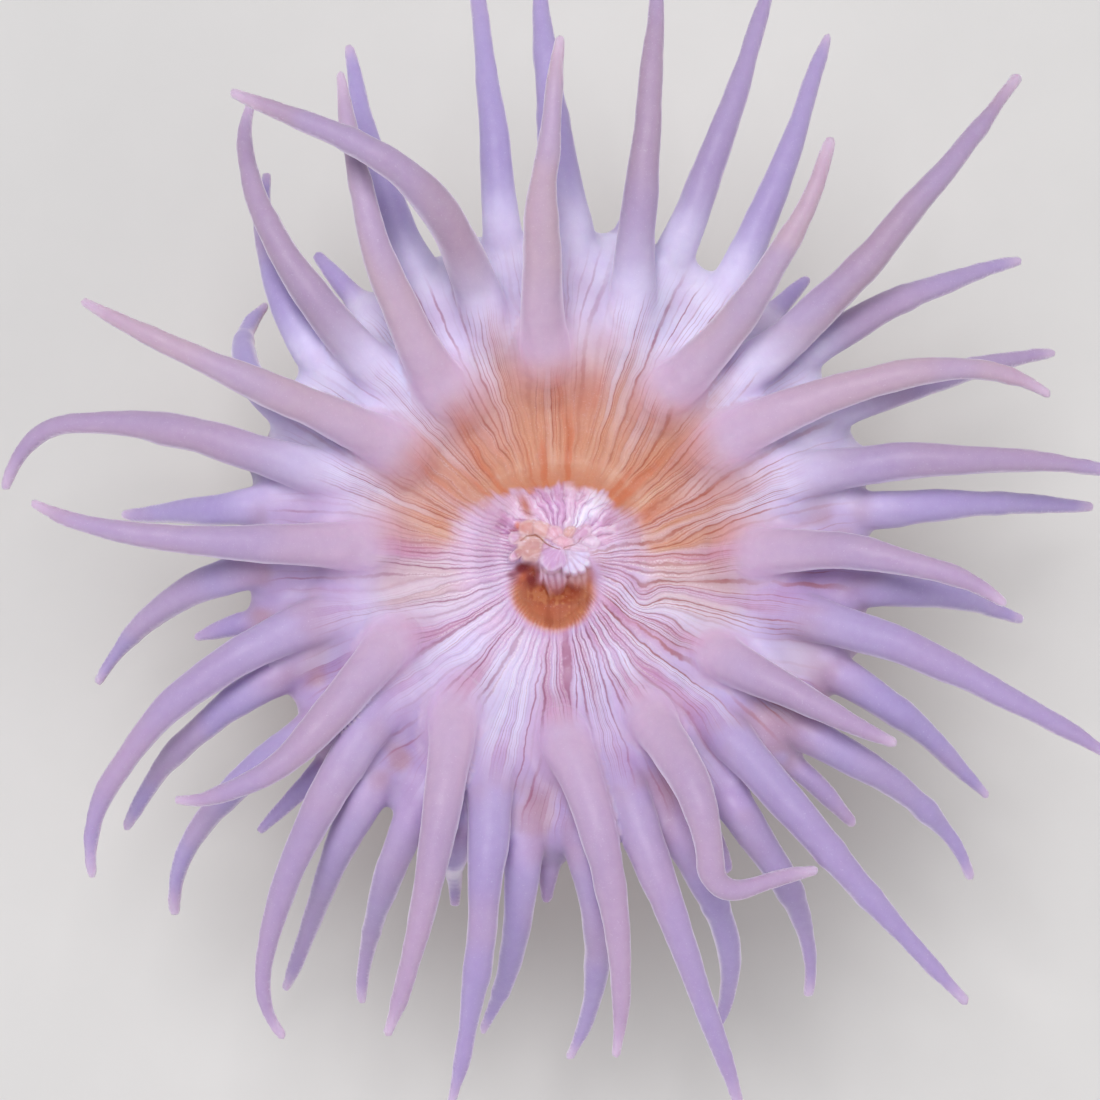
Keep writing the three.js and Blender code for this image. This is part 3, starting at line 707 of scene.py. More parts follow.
class Mouth:
    """The height of the mouth and inner disc, layer by layer, with what the colours need."""

    def __init__(self, x, y):
        self.x, self.y = x, y
        self.wobble = 0.18 * noise_c(flat(x * 0.9, y * 0.9))
        dx, dy = x - LIP_CENTRE[0], y - LIP_CENTRE[1]
        self.out = np.hypot(dx, dy)
        heading = np.arctan2(dy, dx)
        self.heading = np.where(heading < -math.pi / 2, heading + FULL_TURN, heading)
        self.degrees = np.degrees(self.heading)
        self.edge = np.interp(self.degrees, *PLEAT_REACH) + self.wobble
        self.raise_mound()
        self.fold_pleats()
        self.open_throat()
        self.hang_fringe()
        self.press_lobes()

    def raise_mound(self):
        """The mound stands up from the disc, higher behind, with a flatter top for the lips."""
        x, y = self.x, self.y
        reach, angle = disc_polar(x, y)
        crest = MOUND_TOP + 3.0 * smoothstep(np.sin(angle), -0.7, 0.8)
        side_rise = fade(reach + self.wobble, 6.0, 8.8)
        back_rise = fade(self.out, self.edge - 1.6, self.edge + 3.6)
        rise = mix(side_rise, back_rise, smoothstep(np.sin(angle), 0.25, 0.7))
        z = mix(dish_height(reach, angle), crest, rise)
        lips = fade(np.hypot((x - LIP_CENTRE[0]) / 1.15, y - LIP_CENTRE[1] + 0.2), 2.0, 5.4)
        self.z = mix(z, LIP_TOP, lips * smoothstep(y, -5.0, -2.5))

    def fold_pleats(self):
        """Pleats fan out behind the lips, with a ragged edge and one dent."""
        x, y, out, degrees = self.x, self.y, self.out, self.degrees
        sway = 0.10 * noise_d(flat(x * 0.7, y * 0.7)) + 0.03 * noise_a(flat(x * 2, y * 2))
        self.turn = np.interp(self.heading + sway, pleat_edges, np.arange(PLEATS + 1))
        self.fold = 1 - np.abs(2 * (self.turn % 1) - 1) ** 2.4
        ragged = self.edge + 0.35 * noise_b(flat(x * 1.3, y * 1.3))
        self.pleated = (smoothstep(out, 1.5, 2.4) * fade(out, ragged - 0.3, ragged + 1.3)
                        * smoothstep(degrees, -10, 12) * fade(degrees, 178, 196))
        self.z = self.z + self.pleated * (0.30 * self.fold - 0.15)
        dx, dy = x - NOTCH[0], y - NOTCH[1]
        across = dx * NOTCH_LEAN[0] + dy * NOTCH_LEAN[1]
        along = dy * NOTCH_LEAN[0] - dx * NOTCH_LEAN[1]
        self.notch = np.exp(-((across / 0.46) ** 2 + (along / 1.35) ** 2))
        self.z = self.z - 0.6 * self.notch

    def open_throat(self):
        """The throat opens in front of the lips."""
        y = self.y
        self.deep = lobe_reach(self.x, y, (*THROAT_CENTRE, 1.0, 1.03, 0, 1.85)) + 0.5 * self.wobble
        self.hollow = fade(self.deep, THROAT_RADIUS - 1.5, THROAT_RADIUS + 0.25) * fade(y, -3.2, -2.2)
        bowl = (THROAT_FLOOR + 1.4 * np.minimum(1, self.deep / THROAT_RADIUS) ** 2.0
                + 2.4 * smoothstep(y, -6.4, -3.2))
        self.z = mix(self.z, bowl, self.hollow)

    def hang_fringe(self):
        """A thin pleated fringe hangs from the lower lip into the throat."""
        x, y = self.x, self.y
        hem = (-4.85 + 0.70 * noise_b(flat(x * 1.1, x * 0)) + 0.22 * noise_d(flat(x * 3, x * 0))
               + 0.70 * smoothstep(x, -0.2, 0.9))
        side = x + 0.45 * noise_c(flat(y * 0.9, y * 0 + 3))
        self.fringe = (smoothstep(side, -2.5, -1.6) * fade(side, 2.6, 3.5)
                       * smoothstep(y, hem - 0.45, hem + 0.30) * fade(y, -2.4, -2.0))
        self.gather = 0.5 + 0.5 * np.cos(FULL_TURN * (x / 0.62 + 0.9 * noise_a(flat(x * 0.9, y * 0.35))))
        self.z = mix(self.z, 40.0 + 1.05 * (y + 2.6) + 0.10 * self.gather, self.fringe)

    def press_lobes(self):
        """The lobes of the lips press on each other, and the slit winds between them."""
        x, y = self.x, self.y
        bulge = 0.09 * noise_b(flat(x * 1.6, y * 1.6))
        away = np.stack([lobe_reach(x, y, lobe) + bulge * (1 if k % 2 else -1)
                         for k, lobe in enumerate(LOBES)])
        domes = np.array([lobe[6] for lobe in LOBES])[:, None] + 0.06 - 0.26 * np.clip(away, 0, 1.6) ** 2.6
        highest = domes.max(0)
        share = np.exp((domes - highest) / 0.075)
        top = highest + 0.045 * np.log(share.sum(0)) + 0.04 * noise_d(flat(x * 2.6, y * 2.6))
        self.share = share / share.sum(0)
        self.nearest = away.min(0)
        self.on_lobe = fade(self.nearest, 1.02, 1.32)
        self.z = mix(self.z, np.maximum(top, self.z - 0.15), self.on_lobe)
        # 1 in the creases where two lobes meet
        self.crease = smoothstep(1 - self.share.max(0), 0.12, 0.48) * self.on_lobe
        width = 0.06 + 0.03 * noise_c(flat(x * 1.1, y * 1.1)) + 0.05 * np.exp(-((x + 2.0) / 0.7) ** 2)
        self.slit = np.exp(-(line_distance(x, y, SLIT) / width) ** 2) * self.on_lobe
        self.z = self.z - 0.13 * self.slit


mouth = Mouth(points[is_sheet, 0], points[is_sheet, 1])
# near its edge the sheet follows the roots of the tentacles
sheet_reach, _ = disc_polar(mouth.x, mouth.y)
root_rise = np.maximum(skin_height(mouth.x, mouth.y, mouth.z) - mouth.z, 0)
points[is_sheet, 2] = mouth.z + np.minimum(root_rise, 3) * smoothstep(sheet_reach, 9.0, 10.5)


# ---- what each point belongs to -----------------------------------------------------------------
NEAR_TENTACLE = 7.5    # points are measured from the samples of a tentacle this near


def nearest_tentacle(points):
    """For each point: distance to the nearest tentacle's skin, its number, and how far along."""
    best = np.full(len(points), 9.0)
    which = np.zeros(len(points), int)
    share = np.zeros(len(points))
    for number, tentacle in enumerate(tentacles):
        low = tentacle.centres.min(0) - 5
        high = tentacle.centres.max(0) + 5
        near = np.flatnonzero(((points > low) & (points < high)).all(1))
        for k, centre in enumerate(tentacle.centres[::6]):
            first, last = max(0, 6 * k - 4), min(len(tentacle.centres), 6 * k + 5)
            here = near[((points[near] - centre) ** 2).sum(1) < NEAR_TENTACLE ** 2]
            if len(here) == 0 or last - first < 2:
                continue
            here_from, here_to = slice(first, last - 1), slice(first + 1, last)
            a = tentacle.centres[here_from]
            axis = tentacle.centres[here_to] - a
            rel = points[here][:, None, :] - a[None]
            u = np.clip(np.einsum("nkj,kj->nk", rel, axis) / (axis ** 2).sum(1), 0, 1)
            gap = np.linalg.norm(rel - u[..., None] * axis, axis=2)
            gap -= mix(tentacle.radii[here_from], tentacle.radii[here_to], u)
            pick = gap.argmin(1)
            row = np.arange(len(here))
            closer = gap[row, pick] < best[here]
            chosen = here[closer]
            best[chosen] = gap[row, pick][closer]
            which[chosen] = number
            along = mix(tentacle.share[here_from], tentacle.share[here_to], u)
            share[chosen] = along[row, pick][closer]
    return best, which, share


x, y, z = points.T.copy()
reach, angle = disc_polar(x, y)
turn = np.arctan2(y, x)
to_tentacle, which, share = nearest_tentacle(points)
limb = smoothstep(body_field(x, y, z) - to_tentacle, -2.2, 2.4)     # 0 on the body, 1 on a tentacle
limb[is_sheet] = 0
on_disc = smoothstep(z, COLUMN_TOP, COLUMN_TOP + 2.5)   # 0 on the column, 1 on the crown

# the ribs' own angle: wavy, folded at one place, and gathered into bundles towards the roots
roots = np.array([t.root for t in tentacles if t.kind < 2])
root_angle = np.sort(np.arctan2(roots[:, 1], roots[:, 0]))


def bundled(turn, amount):
    """Angles drawn together towards each root, by amount from 0 to 1."""
    ring = np.concatenate([[root_angle[-1] - FULL_TURN], root_angle, [root_angle[0] + FULL_TURN]])
    borders = (ring[1:] + ring[:-1]) / 2
    turn = np.where(turn < borders[0], turn + FULL_TURN, turn)
    turn = np.where(turn >= borders[-1], turn - FULL_TURN, turn)
    cell = np.clip(np.searchsorted(borders, turn, side="right") - 1, 0, len(root_angle) - 1)
    middle, lower, upper = root_angle[cell], borders[cell], borders[cell + 1]
    width = np.where(turn > middle, upper - middle, middle - lower)
    u = np.clip((turn - middle) / width, -1, 1)
    return middle + width * (u + amount * 0.26 * np.sin(math.pi * u))


def ribs_at(x, y):
    """The wavy, bundled angle of the disc's ribs."""
    shake = 0.17 * smoothstep(np.hypot(x, y + 1.5), 3.5, 9.0)
    fine = 0.26 * shake
    wx = x + shake * noise_a(flat(x * 0.62 + 3, y * 0.62)) + fine * noise_c(flat(x * 1.9, y * 1.9 + 7))
    wy = y + shake * noise_b(flat(x * 0.62, y * 0.62 + 5)) + fine * noise_d(flat(x * 1.9 + 4, y * 1.9))
    # a fold on the right, where the ribs step sideways in an S
    fold = np.exp(-(((wx - 8.2) / 1.5) ** 2 + ((wy + 5.6) / 1.9) ** 2))
    reach, turn = disc_polar(wx + 0.8 * fold, wy + 1.3 * fold)
    # the ribs aren't all the same width
    turn = turn + 0.050 * noise_c(wrapped(turn, 8, reach * 0.10))
    return reach, bundled(turn, 0.85 * smoothstep(reach, 9.5, 17.5))


rib_reach, rib_turn = ribs_at(x, y)

# ---- fine relief --------------------------------------------------------------------------------
# the lips, pleats and throat, which have no ribs
mouth_parts = np.zeros(len(points))
mouth_parts[is_sheet] = np.clip(mouth.pleated * fade(mouth.out, 3.8, 5.6)
                                + mouth.hollow + mouth.on_lobe + mouth.fringe, 0, 1)
# the smooth, unlined skin of the trough behind the mouth
facing_back = np.sin(angle + math.radians(3))
trough = smoothstep(facing_back, 0.2, 0.75) * fade(reach + 0.6 * noise_a(flat(x * 0.9, y * 0.9)), 8.8, 12.5)


def rib_relief():
    """Ribs of the disc and mound, with grooves between them."""
    phase = rib_turn * RIBS / FULL_TURN
    gap = np.minimum(phase % 1, 1 - phase % 1) * FULL_TURN * np.maximum(rib_reach, 2) / RIBS
    groove = np.exp(-(gap / 0.13) ** 2) * fade(rib_reach, SHEET_EDGE - 3.0, SHEET_EDGE - 0.4)
    zone = on_disc * (1 - limb) * smoothstep(reach, 3.5, 5.5) * fade(reach, 22, 27)
    zone = zone * (1 - mouth_parts) * (1 - 0.9 * trough)
    return zone * (0.045 * np.cos(FULL_TURN * (phase - 0.5)) - 0.05 * groove
                   + 0.10 * noise_d(flat(x * 0.45, y * 0.45)))


# lengthwise ridges of the column, and wrinkles round it
sway = 2.4 * noise_b(wrapped(turn, 3.5, np.zeros_like(z))) + 1.3 * noise_a(points * 0.16)
ridges = np.cos(48 * turn + sway)
ridges *= 0.55 + 0.45 * noise_c(wrapped(turn, 9, z * 0.06))
wrinkles = noise_b(wrapped(turn, 4, z * 0.62))
wall = (1 - on_disc) * (1 - limb) * smoothstep(z, 0.4, 2.5)
lift = rib_relief()
lift += wall * (0.11 * ridges + 0.16 * wrinkles + 0.07 * noise_c(points * 1.3))
# faint creases across the tentacles
lift += limb * (0.11 * noise_a(points * 0.33) + 0.035 * noise_d(points * 0.8) + 0.015 * noise_c(points * 2.1))


# ---- the mesh -----------------------------------------------------------------------------------
def build_mesh(mesh, points, quads, mixed):
    """Fills the mesh, and tells which of the points it uses."""
    flat_mixed = np.concatenate([np.array(face) for face in mixed])
    used = np.zeros(len(points), bool)
    used[quads] = True
    used[flat_mixed] = True
    renumber = np.cumsum(used) - 1
    sizes = np.concatenate([np.full(len(quads), 4), [len(face) for face in mixed]])
    corners = renumber[np.concatenate([quads.ravel(), flat_mixed])]
    starts = np.cumsum(sizes) - sizes
    mesh.vertices.add(int(used.sum()))
    mesh.vertices.foreach_set("co", (points[used] * MM).astype(np.float32).ravel())
    mesh.loops.add(len(corners))
    mesh.loops.foreach_set("vertex_index", corners.astype(np.int32))
    mesh.polygons.add(len(starts))
    mesh.polygons.foreach_set("loop_start", starts.astype(np.int32))
    mesh.update(calc_edges=True)
    mesh.validate()
    mesh.shade_smooth()
    return used


piece_mesh = bpy.data.meshes.new("anemone_skin")
used = build_mesh(piece_mesh, points, quads, mixed)
normals = np.empty(len(piece_mesh.vertices) * 3, np.float32)
piece_mesh.vertices.foreach_get("normal", normals)
normals = normals.reshape(-1, 3)
lifted = points[used] + normals * lift[used][:, None]
lifted[:, 2] = np.maximum(lifted[:, 2], 0)
piece_mesh.vertices.foreach_set("co", (lifted * MM).astype(np.float32).ravel())
piece_mesh.update()


# ---- colours laid on the skin -------------------------------------------------------------------
def layered(base, *layers):
    """The base with layers over it, each a hex colour and its amount at each point."""
    for hexa, amount in layers:
        base = base + (colour(hexa) - base) * np.asarray(amount)[..., None]
    return base


def plain(hexa):
    """The same colour at every point."""
    return np.tile(colour(hexa), (len(points), 1))


streak = noise_a(wrapped(rib_turn, 7, reach * 0.05))
streak_fine = noise_b(wrapped(rib_turn, 19, reach * 0.08))
sliver = noise_b(wrapped(rib_turn, 13, rib_reach * 0.11))
patch = noise_c(flat(x * 0.22, y * 0.22))
cloud = noise_d(flat(x * 0.5 + 9, y * 0.5))
backward = np.sin(angle)
upper_side = smoothstep(backward, -0.25, 0.45)


def root_marks(kind, inner_start):
    """How near each point lies to the line from the mouth to a root of that kind."""
    mark = np.zeros(len(points))
    for t in tentacles:
        if t.kind != kind or t.radii.max() < 1.5:
            continue
        r, a = disc_polar(t.root[0], t.root[1])
        side = np.abs((angle - a + math.pi) % FULL_TURN - math.pi) * reach
        width = mix(0.35, 1.3, smoothstep(reach, inner_start, r - 1))
        along = smoothstep(reach, inner_start, r - 2) * fade(reach, r - 1.5, r + 1)
        mark = np.maximum(mark, np.exp(-(side / width) ** 2) * along)
    return mark * (0.65 + 0.35 * streak_fine)


def pale_mound():
    """The pale skin of the mound, which the orange stops at."""
    pale = np.zeros(len(points))
    edge = np.interp(mouth.degrees, *PALE_REACH) + 0.30 * noise_a(flat(mouth.x * 1.4, mouth.y * 1.4))
    edge = edge + 0.9 * streak_fine[is_sheet]
    blur = mix(0.5, 1.8, smoothstep(np.abs(mouth.degrees - 90), 35, 75))
    pale[is_sheet] = fade(mouth.out, edge - blur, edge + blur)
    return pale


def orange_half():
    """The orange half of the disc behind the mouth, streaky at its sides."""
    sideways = 1 - facing_back
    edge = mix(20.0, 20.5, smoothstep(sideways, 0.2, 0.9))
    orange = smoothstep(facing_back, -0.10, 0.16) * fade(reach + 2.6 * streak, edge - 8.5, edge)
    streaky = smoothstep(streak + 0.5 * streak_fine, -0.45, 0.35)
    return orange * mix(1.0, streaky, smoothstep(sideways, 0.25, 0.75)) * (1 - pale)


pale = pale_mound()
orange = orange_half()
tan = smoothstep(facing_back, -0.20, 0.20) * fade(reach + 2.4 * streak, 16, 25) * (1 - 0.8 * pale)


def disc_tint():
    """Lilac and white, streaked with pink, with orange and tan behind, and on the rim's far side a bluish
    white that is painted light.
    """
    inner_mark = root_marks(0, 9.5)
    behind = smoothstep(facing_back, 0.0, 0.5)
    between = (1 - inner_mark) * smoothstep(reach, 9.0, 13.0) * fade(reach, 19, 24)
    # a fainter tan spreads down both sides
    flank = (smoothstep(backward, -0.72, -0.30) * fade(backward, 0.0, 0.15)
             * smoothstep(reach, 7.5, 11) * fade(reach, 17, 21) * smoothstep(streak, -0.4, 0.3))
    return layered(
        plain("cbaace"),
        ("e0d5f3", smoothstep(streak_fine, -0.2, 0.5) * 0.78),
        ("c592b8", 0.55 * smoothstep(patch, 0.0, 0.7)),
        ("d8d0f1", 0.68 * between * smoothstep(streak, -0.5, 0.3)),
        ("c288a8", 0.55 * smoothstep(-streak_fine - 0.3 * streak, 0.1, 0.7)),
        ("b9a3cf", 0.80 * smoothstep(reach, 19, 25) * (1 - upper_side)),
        # painted light: the far side of the rim is made bluish white, lifting it out of its shade
        ("e6e7ff", 0.95 * smoothstep(reach, 15, 20.5) * upper_side * (0.75 + 0.25 * cloud)),
        ("cc9d93", 0.85 * tan),
        ("cfae9f", 0.60 * flank),
        ("cf987b", 0.90 * orange),
        ("dcbba8", 0.55 * orange * smoothstep(sliver, 0.05, 0.6) * smoothstep(reach, 6.5, 11)),
        ("c76a40", 0.55 * orange * smoothstep(-sliver, 0.30, 0.75)),
        ("cf8457", 0.55 * orange * fade(reach, 6.5, 10)),
        ("c8839a", 0.55 * inner_mark * (1 - behind)),
        ("c4755a", 0.40 * inner_mark * behind),
        ("dabddb", 0.75 * pale),
        # the rim's outer side
        ("b9887c", 0.55 * smoothstep(reach, 22.5, 26.5) * (1 - 0.75 * upper_side)
         * smoothstep(cloud + streak_fine, -0.7, 0.5)))


def column_tint():
    """Tan, with paler ridges and darker wrinkles."""
    return layered(
        plain("b3785c"),
        ("c99580", 0.60 * smoothstep(noise_a(points * 0.11 + 5), -0.3, 0.5)),
        ("ddb49d", 0.62 * smoothstep(ridges, 0.0, 0.75)),
        ("9d6350", 0.35 * smoothstep(-ridges, 0.15, 0.7)),
        ("8f5a50", 0.40 * smoothstep(wrinkles + 0.5 * noise_d(points * 0.5), 0.1, 0.9)),
        ("dcb6a4", 0.6 * fade(z, 0.0, 2.6)))


# where the column's colours show: under the rim's edge
outside = 1 - smoothstep(z + 1.3 * noise_c(points * 0.3), 36.0, 41.0) * on_disc
outside = np.maximum(np.where(reach > RIM_START - 0.4, outside, 0), 1 - on_disc)

# ---- colours of the mouth -----------------------------------------------------------------------
hair = noise_b(flat(mouth.turn * 5.0, mouth.out * 0.8))
grain = noise_a(flat(mouth.x * 3.1, mouth.y * 3.1))
PLEAT_COLOURS = ("d3a5c8", "e0c4dc", "c590bd", "ddb8d4", "cfa2c8")
# spots of dark red and orange: x, y, half-length, half-width, turn in degrees, colour, strength
SPOTS = [(-3.75, -2.75, 1.05, 0.50, 28, "7c2629", 1.0), (-2.85, -3.95, 0.85, 0.66, 60, "84302c", 0.95),
         (-4.85, -3.35, 0.60, 0.40, 20, "9a5060", 0.70), (0.75, -3.55, 0.24, 0.42, 0, "8c3f4c", 0.80),
         (1.30, -4.95, 0.85, 0.50, 5, "a34a34", 0.75), (-4.10, 1.15, 0.55, 0.40, -40, "cf6f3c", 0.85),
         (-4.65, 0.80, 0.50, 0.18, -10, "8f3c48", 0.75), (-5.6, 1.6, 0.9, 0.6, -25, "b07aa4", 0.6)]


def pleat_tint():
    """Lilac and white pleats, with fine light and dark hairs along them."""
    own = np.array([colour(hexa) for hexa in PLEAT_COLOURS])[(np.floor(mouth.turn).astype(int) * 3) % 5]
    own = layered(
        own,
        ("d0a8d0", 0.55 * np.exp(-((mouth.degrees - 103) / 17) ** 2)),
        ("efeeff", 0.95 * np.exp(-((mouth.degrees - 53 + 5 * cloud[is_sheet]) / 14) ** 2)),
        ("f0e2f5", 0.55 * smoothstep(hair + 0.5 * grain, 0.0, 0.8)),
        ("ac7299", 0.34 * smoothstep(-hair - 0.3 * grain, 0.2, 0.8)))
    return mix(colour("a8688a"), own, mix(0.72, 1.0, smoothstep(mouth.fold, 0.0, 0.40))[:, None])


def throat_tint():
    """Orange brown, redder towards the lips."""
    return layered(
        np.tile(colour("c48262"), (len(mouth.x), 1)),
        ("b05c3c", smoothstep(-mouth.deep, -3.9, -1.6)),
        ("d79a6c", 0.5 * smoothstep(grain + hair, 0.1, 0.9)),
        ("a8402f", 0.6 * smoothstep(mouth.y, -5.3, -3.6)),
        ("9c4c2e", 0.5 * smoothstep(noise_d(flat(mouth.x * 2.6, mouth.y * 0.5)), 0.1, 0.8)))


def fringe_tint():
    """Pale pleats with darker valleys and one cream fold."""
    fold = np.exp(-((mouth.x + 0.9) / 0.75) ** 2 - ((mouth.y + 3.15) / 0.2) ** 2)
    return layered(
        np.tile(colour("dcc0d4"), (len(mouth.x), 1)),
        ("c6a0b6", (1 - mouth.gather) ** 1.5),
        ("e0c6a4", 0.8 * fold),
        ("d8a890", 0.55 * smoothstep(mouth.x, 0.2, 1.2)))


def lobe_tint():
    """Each lobe's own colour, paler at its edge, with darker creases."""
    own = mouth.share.T @ np.array([colour(LOBE_COLOURS[row[7]]) for row in LOBES])
    own = mix(own, 0.45 * own + 0.55, (0.32 * smoothstep(mouth.nearest, 0.62, 0.95))[:, None])
    radial = noise_c(flat(mouth.degrees * 0.24, mouth.out * 0.7))
    return layered(
        own,
        ("ead8e8", 0.26 * smoothstep(radial, 0.05, 0.7)),
        ("c08c9c", 0.24 * smoothstep(-radial, 0.15, 0.8)),
        ("b07c92", 0.26 * mouth.crease),
        ("f2e6f6", 0.30 * smoothstep(grain, 0.35, 0.8)))


def spotted(tint):
    """Adds the ragged spots beside the throat and lips."""
    uneven = 1 + 0.35 * noise_c(flat(mouth.x * 1.9, mouth.y * 1.9))
    for *shape, hexa, strength in SPOTS:
        ragged = lobe_reach(mouth.x, mouth.y, (*shape, 2.0)) * uneven
        tint = layered(tint, (hexa, strength * np.exp(-ragged ** 3) * (1 - 0.8 * mouth.on_lobe)))
    return tint


def mouth_tint(tint):
    """The disc's tint with the mouth's parts over it, from the outside in."""
    throat = (fade(mouth.deep + 0.25 * hair, THROAT_RADIUS - 0.8, THROAT_RADIUS + 0.55)
              * fade(mouth.y, -2.9, -1.9))
    hanging = mix(0.30, 0.92, smoothstep(mouth.y, -5.0, -3.5)) * mouth.fringe
    pleated = 0.9 * smoothstep(mouth.pleated + 0.2 * hair, 0.05, 1.0)
    tint = mix(tint, pleat_tint(), pleated[:, None])
    tint = layered(tint, ("cb8266", 0.85 * mouth.notch))
    tint = mix(tint, throat_tint(), throat[:, None])
    tint = mix(tint, fringe_tint(), hanging[:, None])
    tint = mix(tint, lobe_tint(), mouth.on_lobe[:, None])
    slit = 0.80 * mouth.slit * mix(1.0, 0.45, smoothstep(np.abs(mouth.x + 1.7), 0.8, 2.6))
    return layered(spotted(tint), ("a4603e", slit))


# ---- colours of the tentacles -------------------------------------------------------------------
kind = np.array([t.kind for t in tentacles])[which]
tone = np.array([t.tone for t in tentacles])[which]
upright = np.zeros(len(points))
upright[used] = np.abs(normals[:, 2])
# each circle's colours, inner to outer: on the near side and on the far side of the crown
LIMB_COLOURS = [("b499bb", "c0a5b2"), ("ad96c1", "ac93ab"), ("a594c5", "a99bce")]
ROOT_FADES = [0.12, 0.18, 0.22]        # the share of the length over which the disc's colour fades out


def limb_tint():
    """Lilac, bluer or browner from one tentacle to the next, with painted light: pale rims at the sides and
    bluish white roots on the far side.
    """
    far_side = smoothstep(np.sin(turn), -0.3, 0.6)
    near, far = np.array([[colour(hexa) for hexa in pair] for pair in LIMB_COLOURS])[kind].transpose(1, 0, 2)
    drift = noise_b(points * 0.13)
    inner, others = kind == 0, kind > 0
    return layered(
        mix(near, far, far_side[:, None]),
        ("9f90ca", 0.45 * smoothstep(tone, 0.0, 1) * others),
        ("a98a9c", 0.50 * smoothstep(-tone, 0.0, 1) * others),
        ("c3a2b6", 0.35 * smoothstep(drift, 0.05, 0.6)),
        ("a294c9", 0.35 * smoothstep(-drift, 0.05, 0.6)),
        # bluish white roots on the far side, which are painted light, lilac roots on the near side, and pink
        # tips
        ("dfdcfa", 0.85 * fade(share, 0.04, 0.34) * others * far_side),
        ("bdaed9", 0.70 * fade(share, 0.04, 0.40) * others * (1 - far_side)),
        ("cfb3ce", 0.90 * fade(share, 0.08, 0.50) * inner),
        ("d9c6d8", 0.65 * smoothstep(share, 0.88, 1.0)),
        ("dcd2ea", np.full(len(points), 0.16)),
        # painted light: a tentacle is paler where its side stands upright, a painted bright rim, and a little
        # darker and bluer where it faces straight up, painted shade in its middle
        ("f4ecfc", 0.78 * fade(upright, 0.12, 0.48) * smoothstep(share, 0.12, 0.34)),
        ("8f7db6", 0.14 * smoothstep(upright, 0.65, 1.0)))


def root_glow():
    """Light comes through the steep front of each root."""
    steep = fade(upright, 0.25, 0.85) * smoothstep(limb, 0.0, 0.4) * fade(share, 0.06, 0.30)
    return 0.20 * smoothed(steep * (reach < 25), skin_edges, 12)


skin_edges = edges_of(quads)
over_limb = smoothed(limb * smoothstep(share, 0.0, np.array(ROOT_FADES)[kind]), skin_edges, 40)
tint = mix(disc_tint(), column_tint(), outside[:, None])
tint[is_sheet] = mouth_tint(tint[is_sheet])
tint = mix(tint, limb_tint(), over_limb[:, None])
tint = np.minimum(tint * (1 + root_glow()[:, None]), 0.92)

# the fine lines' colour, how strongly they show, and how strongly the painted highlight on the ribs between
# them shows
ink = layered(
    plain("a0617e"),
    ("a8615c", smoothstep(np.cos(angle), 0.3, 0.8)),
    ("ab4f2c", np.maximum(orange, 0.8 * tan)),
    ("7d4228", outside))
strength = on_disc * fade(over_limb, 0.0, 0.75) * (1 - mouth_parts) * fade(reach, 26, 31)
strength *= mix(1.0, 0.05, trough * (1 - pale)) * mix(1.0, 0.8, orange)
strength *= mix(1.0, 0.30, pale * smoothstep(backward, -0.1, 0.5)) * mix(1.0, 0.8, pale)
strength[is_sheet] *= smoothstep(mouth.deep, THROAT_RADIUS + 0.1, THROAT_RADIUS + 1.3)
strength = np.maximum(strength, 0.0)
rib_highlight = strength * (1 - 0.9 * np.maximum(orange, 0.6 * tan))


def put(name, kind_of, values):
    """Lays values on the mesh's points."""
    attribute = piece_mesh.attributes.new(name, kind_of, "POINT")
    field_name = {"FLOAT_COLOR": "color", "FLOAT_VECTOR": "vector", "FLOAT": "value"}[kind_of]
    attribute.data.foreach_set(field_name, np.ascontiguousarray(values[used], np.float32).ravel())


def opaque(colours):
    return np.concatenate([colours, np.ones((len(colours), 1))], 1)


put("tint", "FLOAT_COLOR", opaque(tint))
put("ink", "FLOAT_COLOR", opaque(ink))
put("flow", "FLOAT_VECTOR", np.stack([np.cos(rib_turn), np.sin(rib_turn), rib_reach], -1))
put("lines", "FLOAT", strength)
put("rib_highlight", "FLOAT", rib_highlight)

skin = bpy.data.objects.new("anemone_skin", piece_mesh)
bpy.context.scene.collection.objects.link(skin)


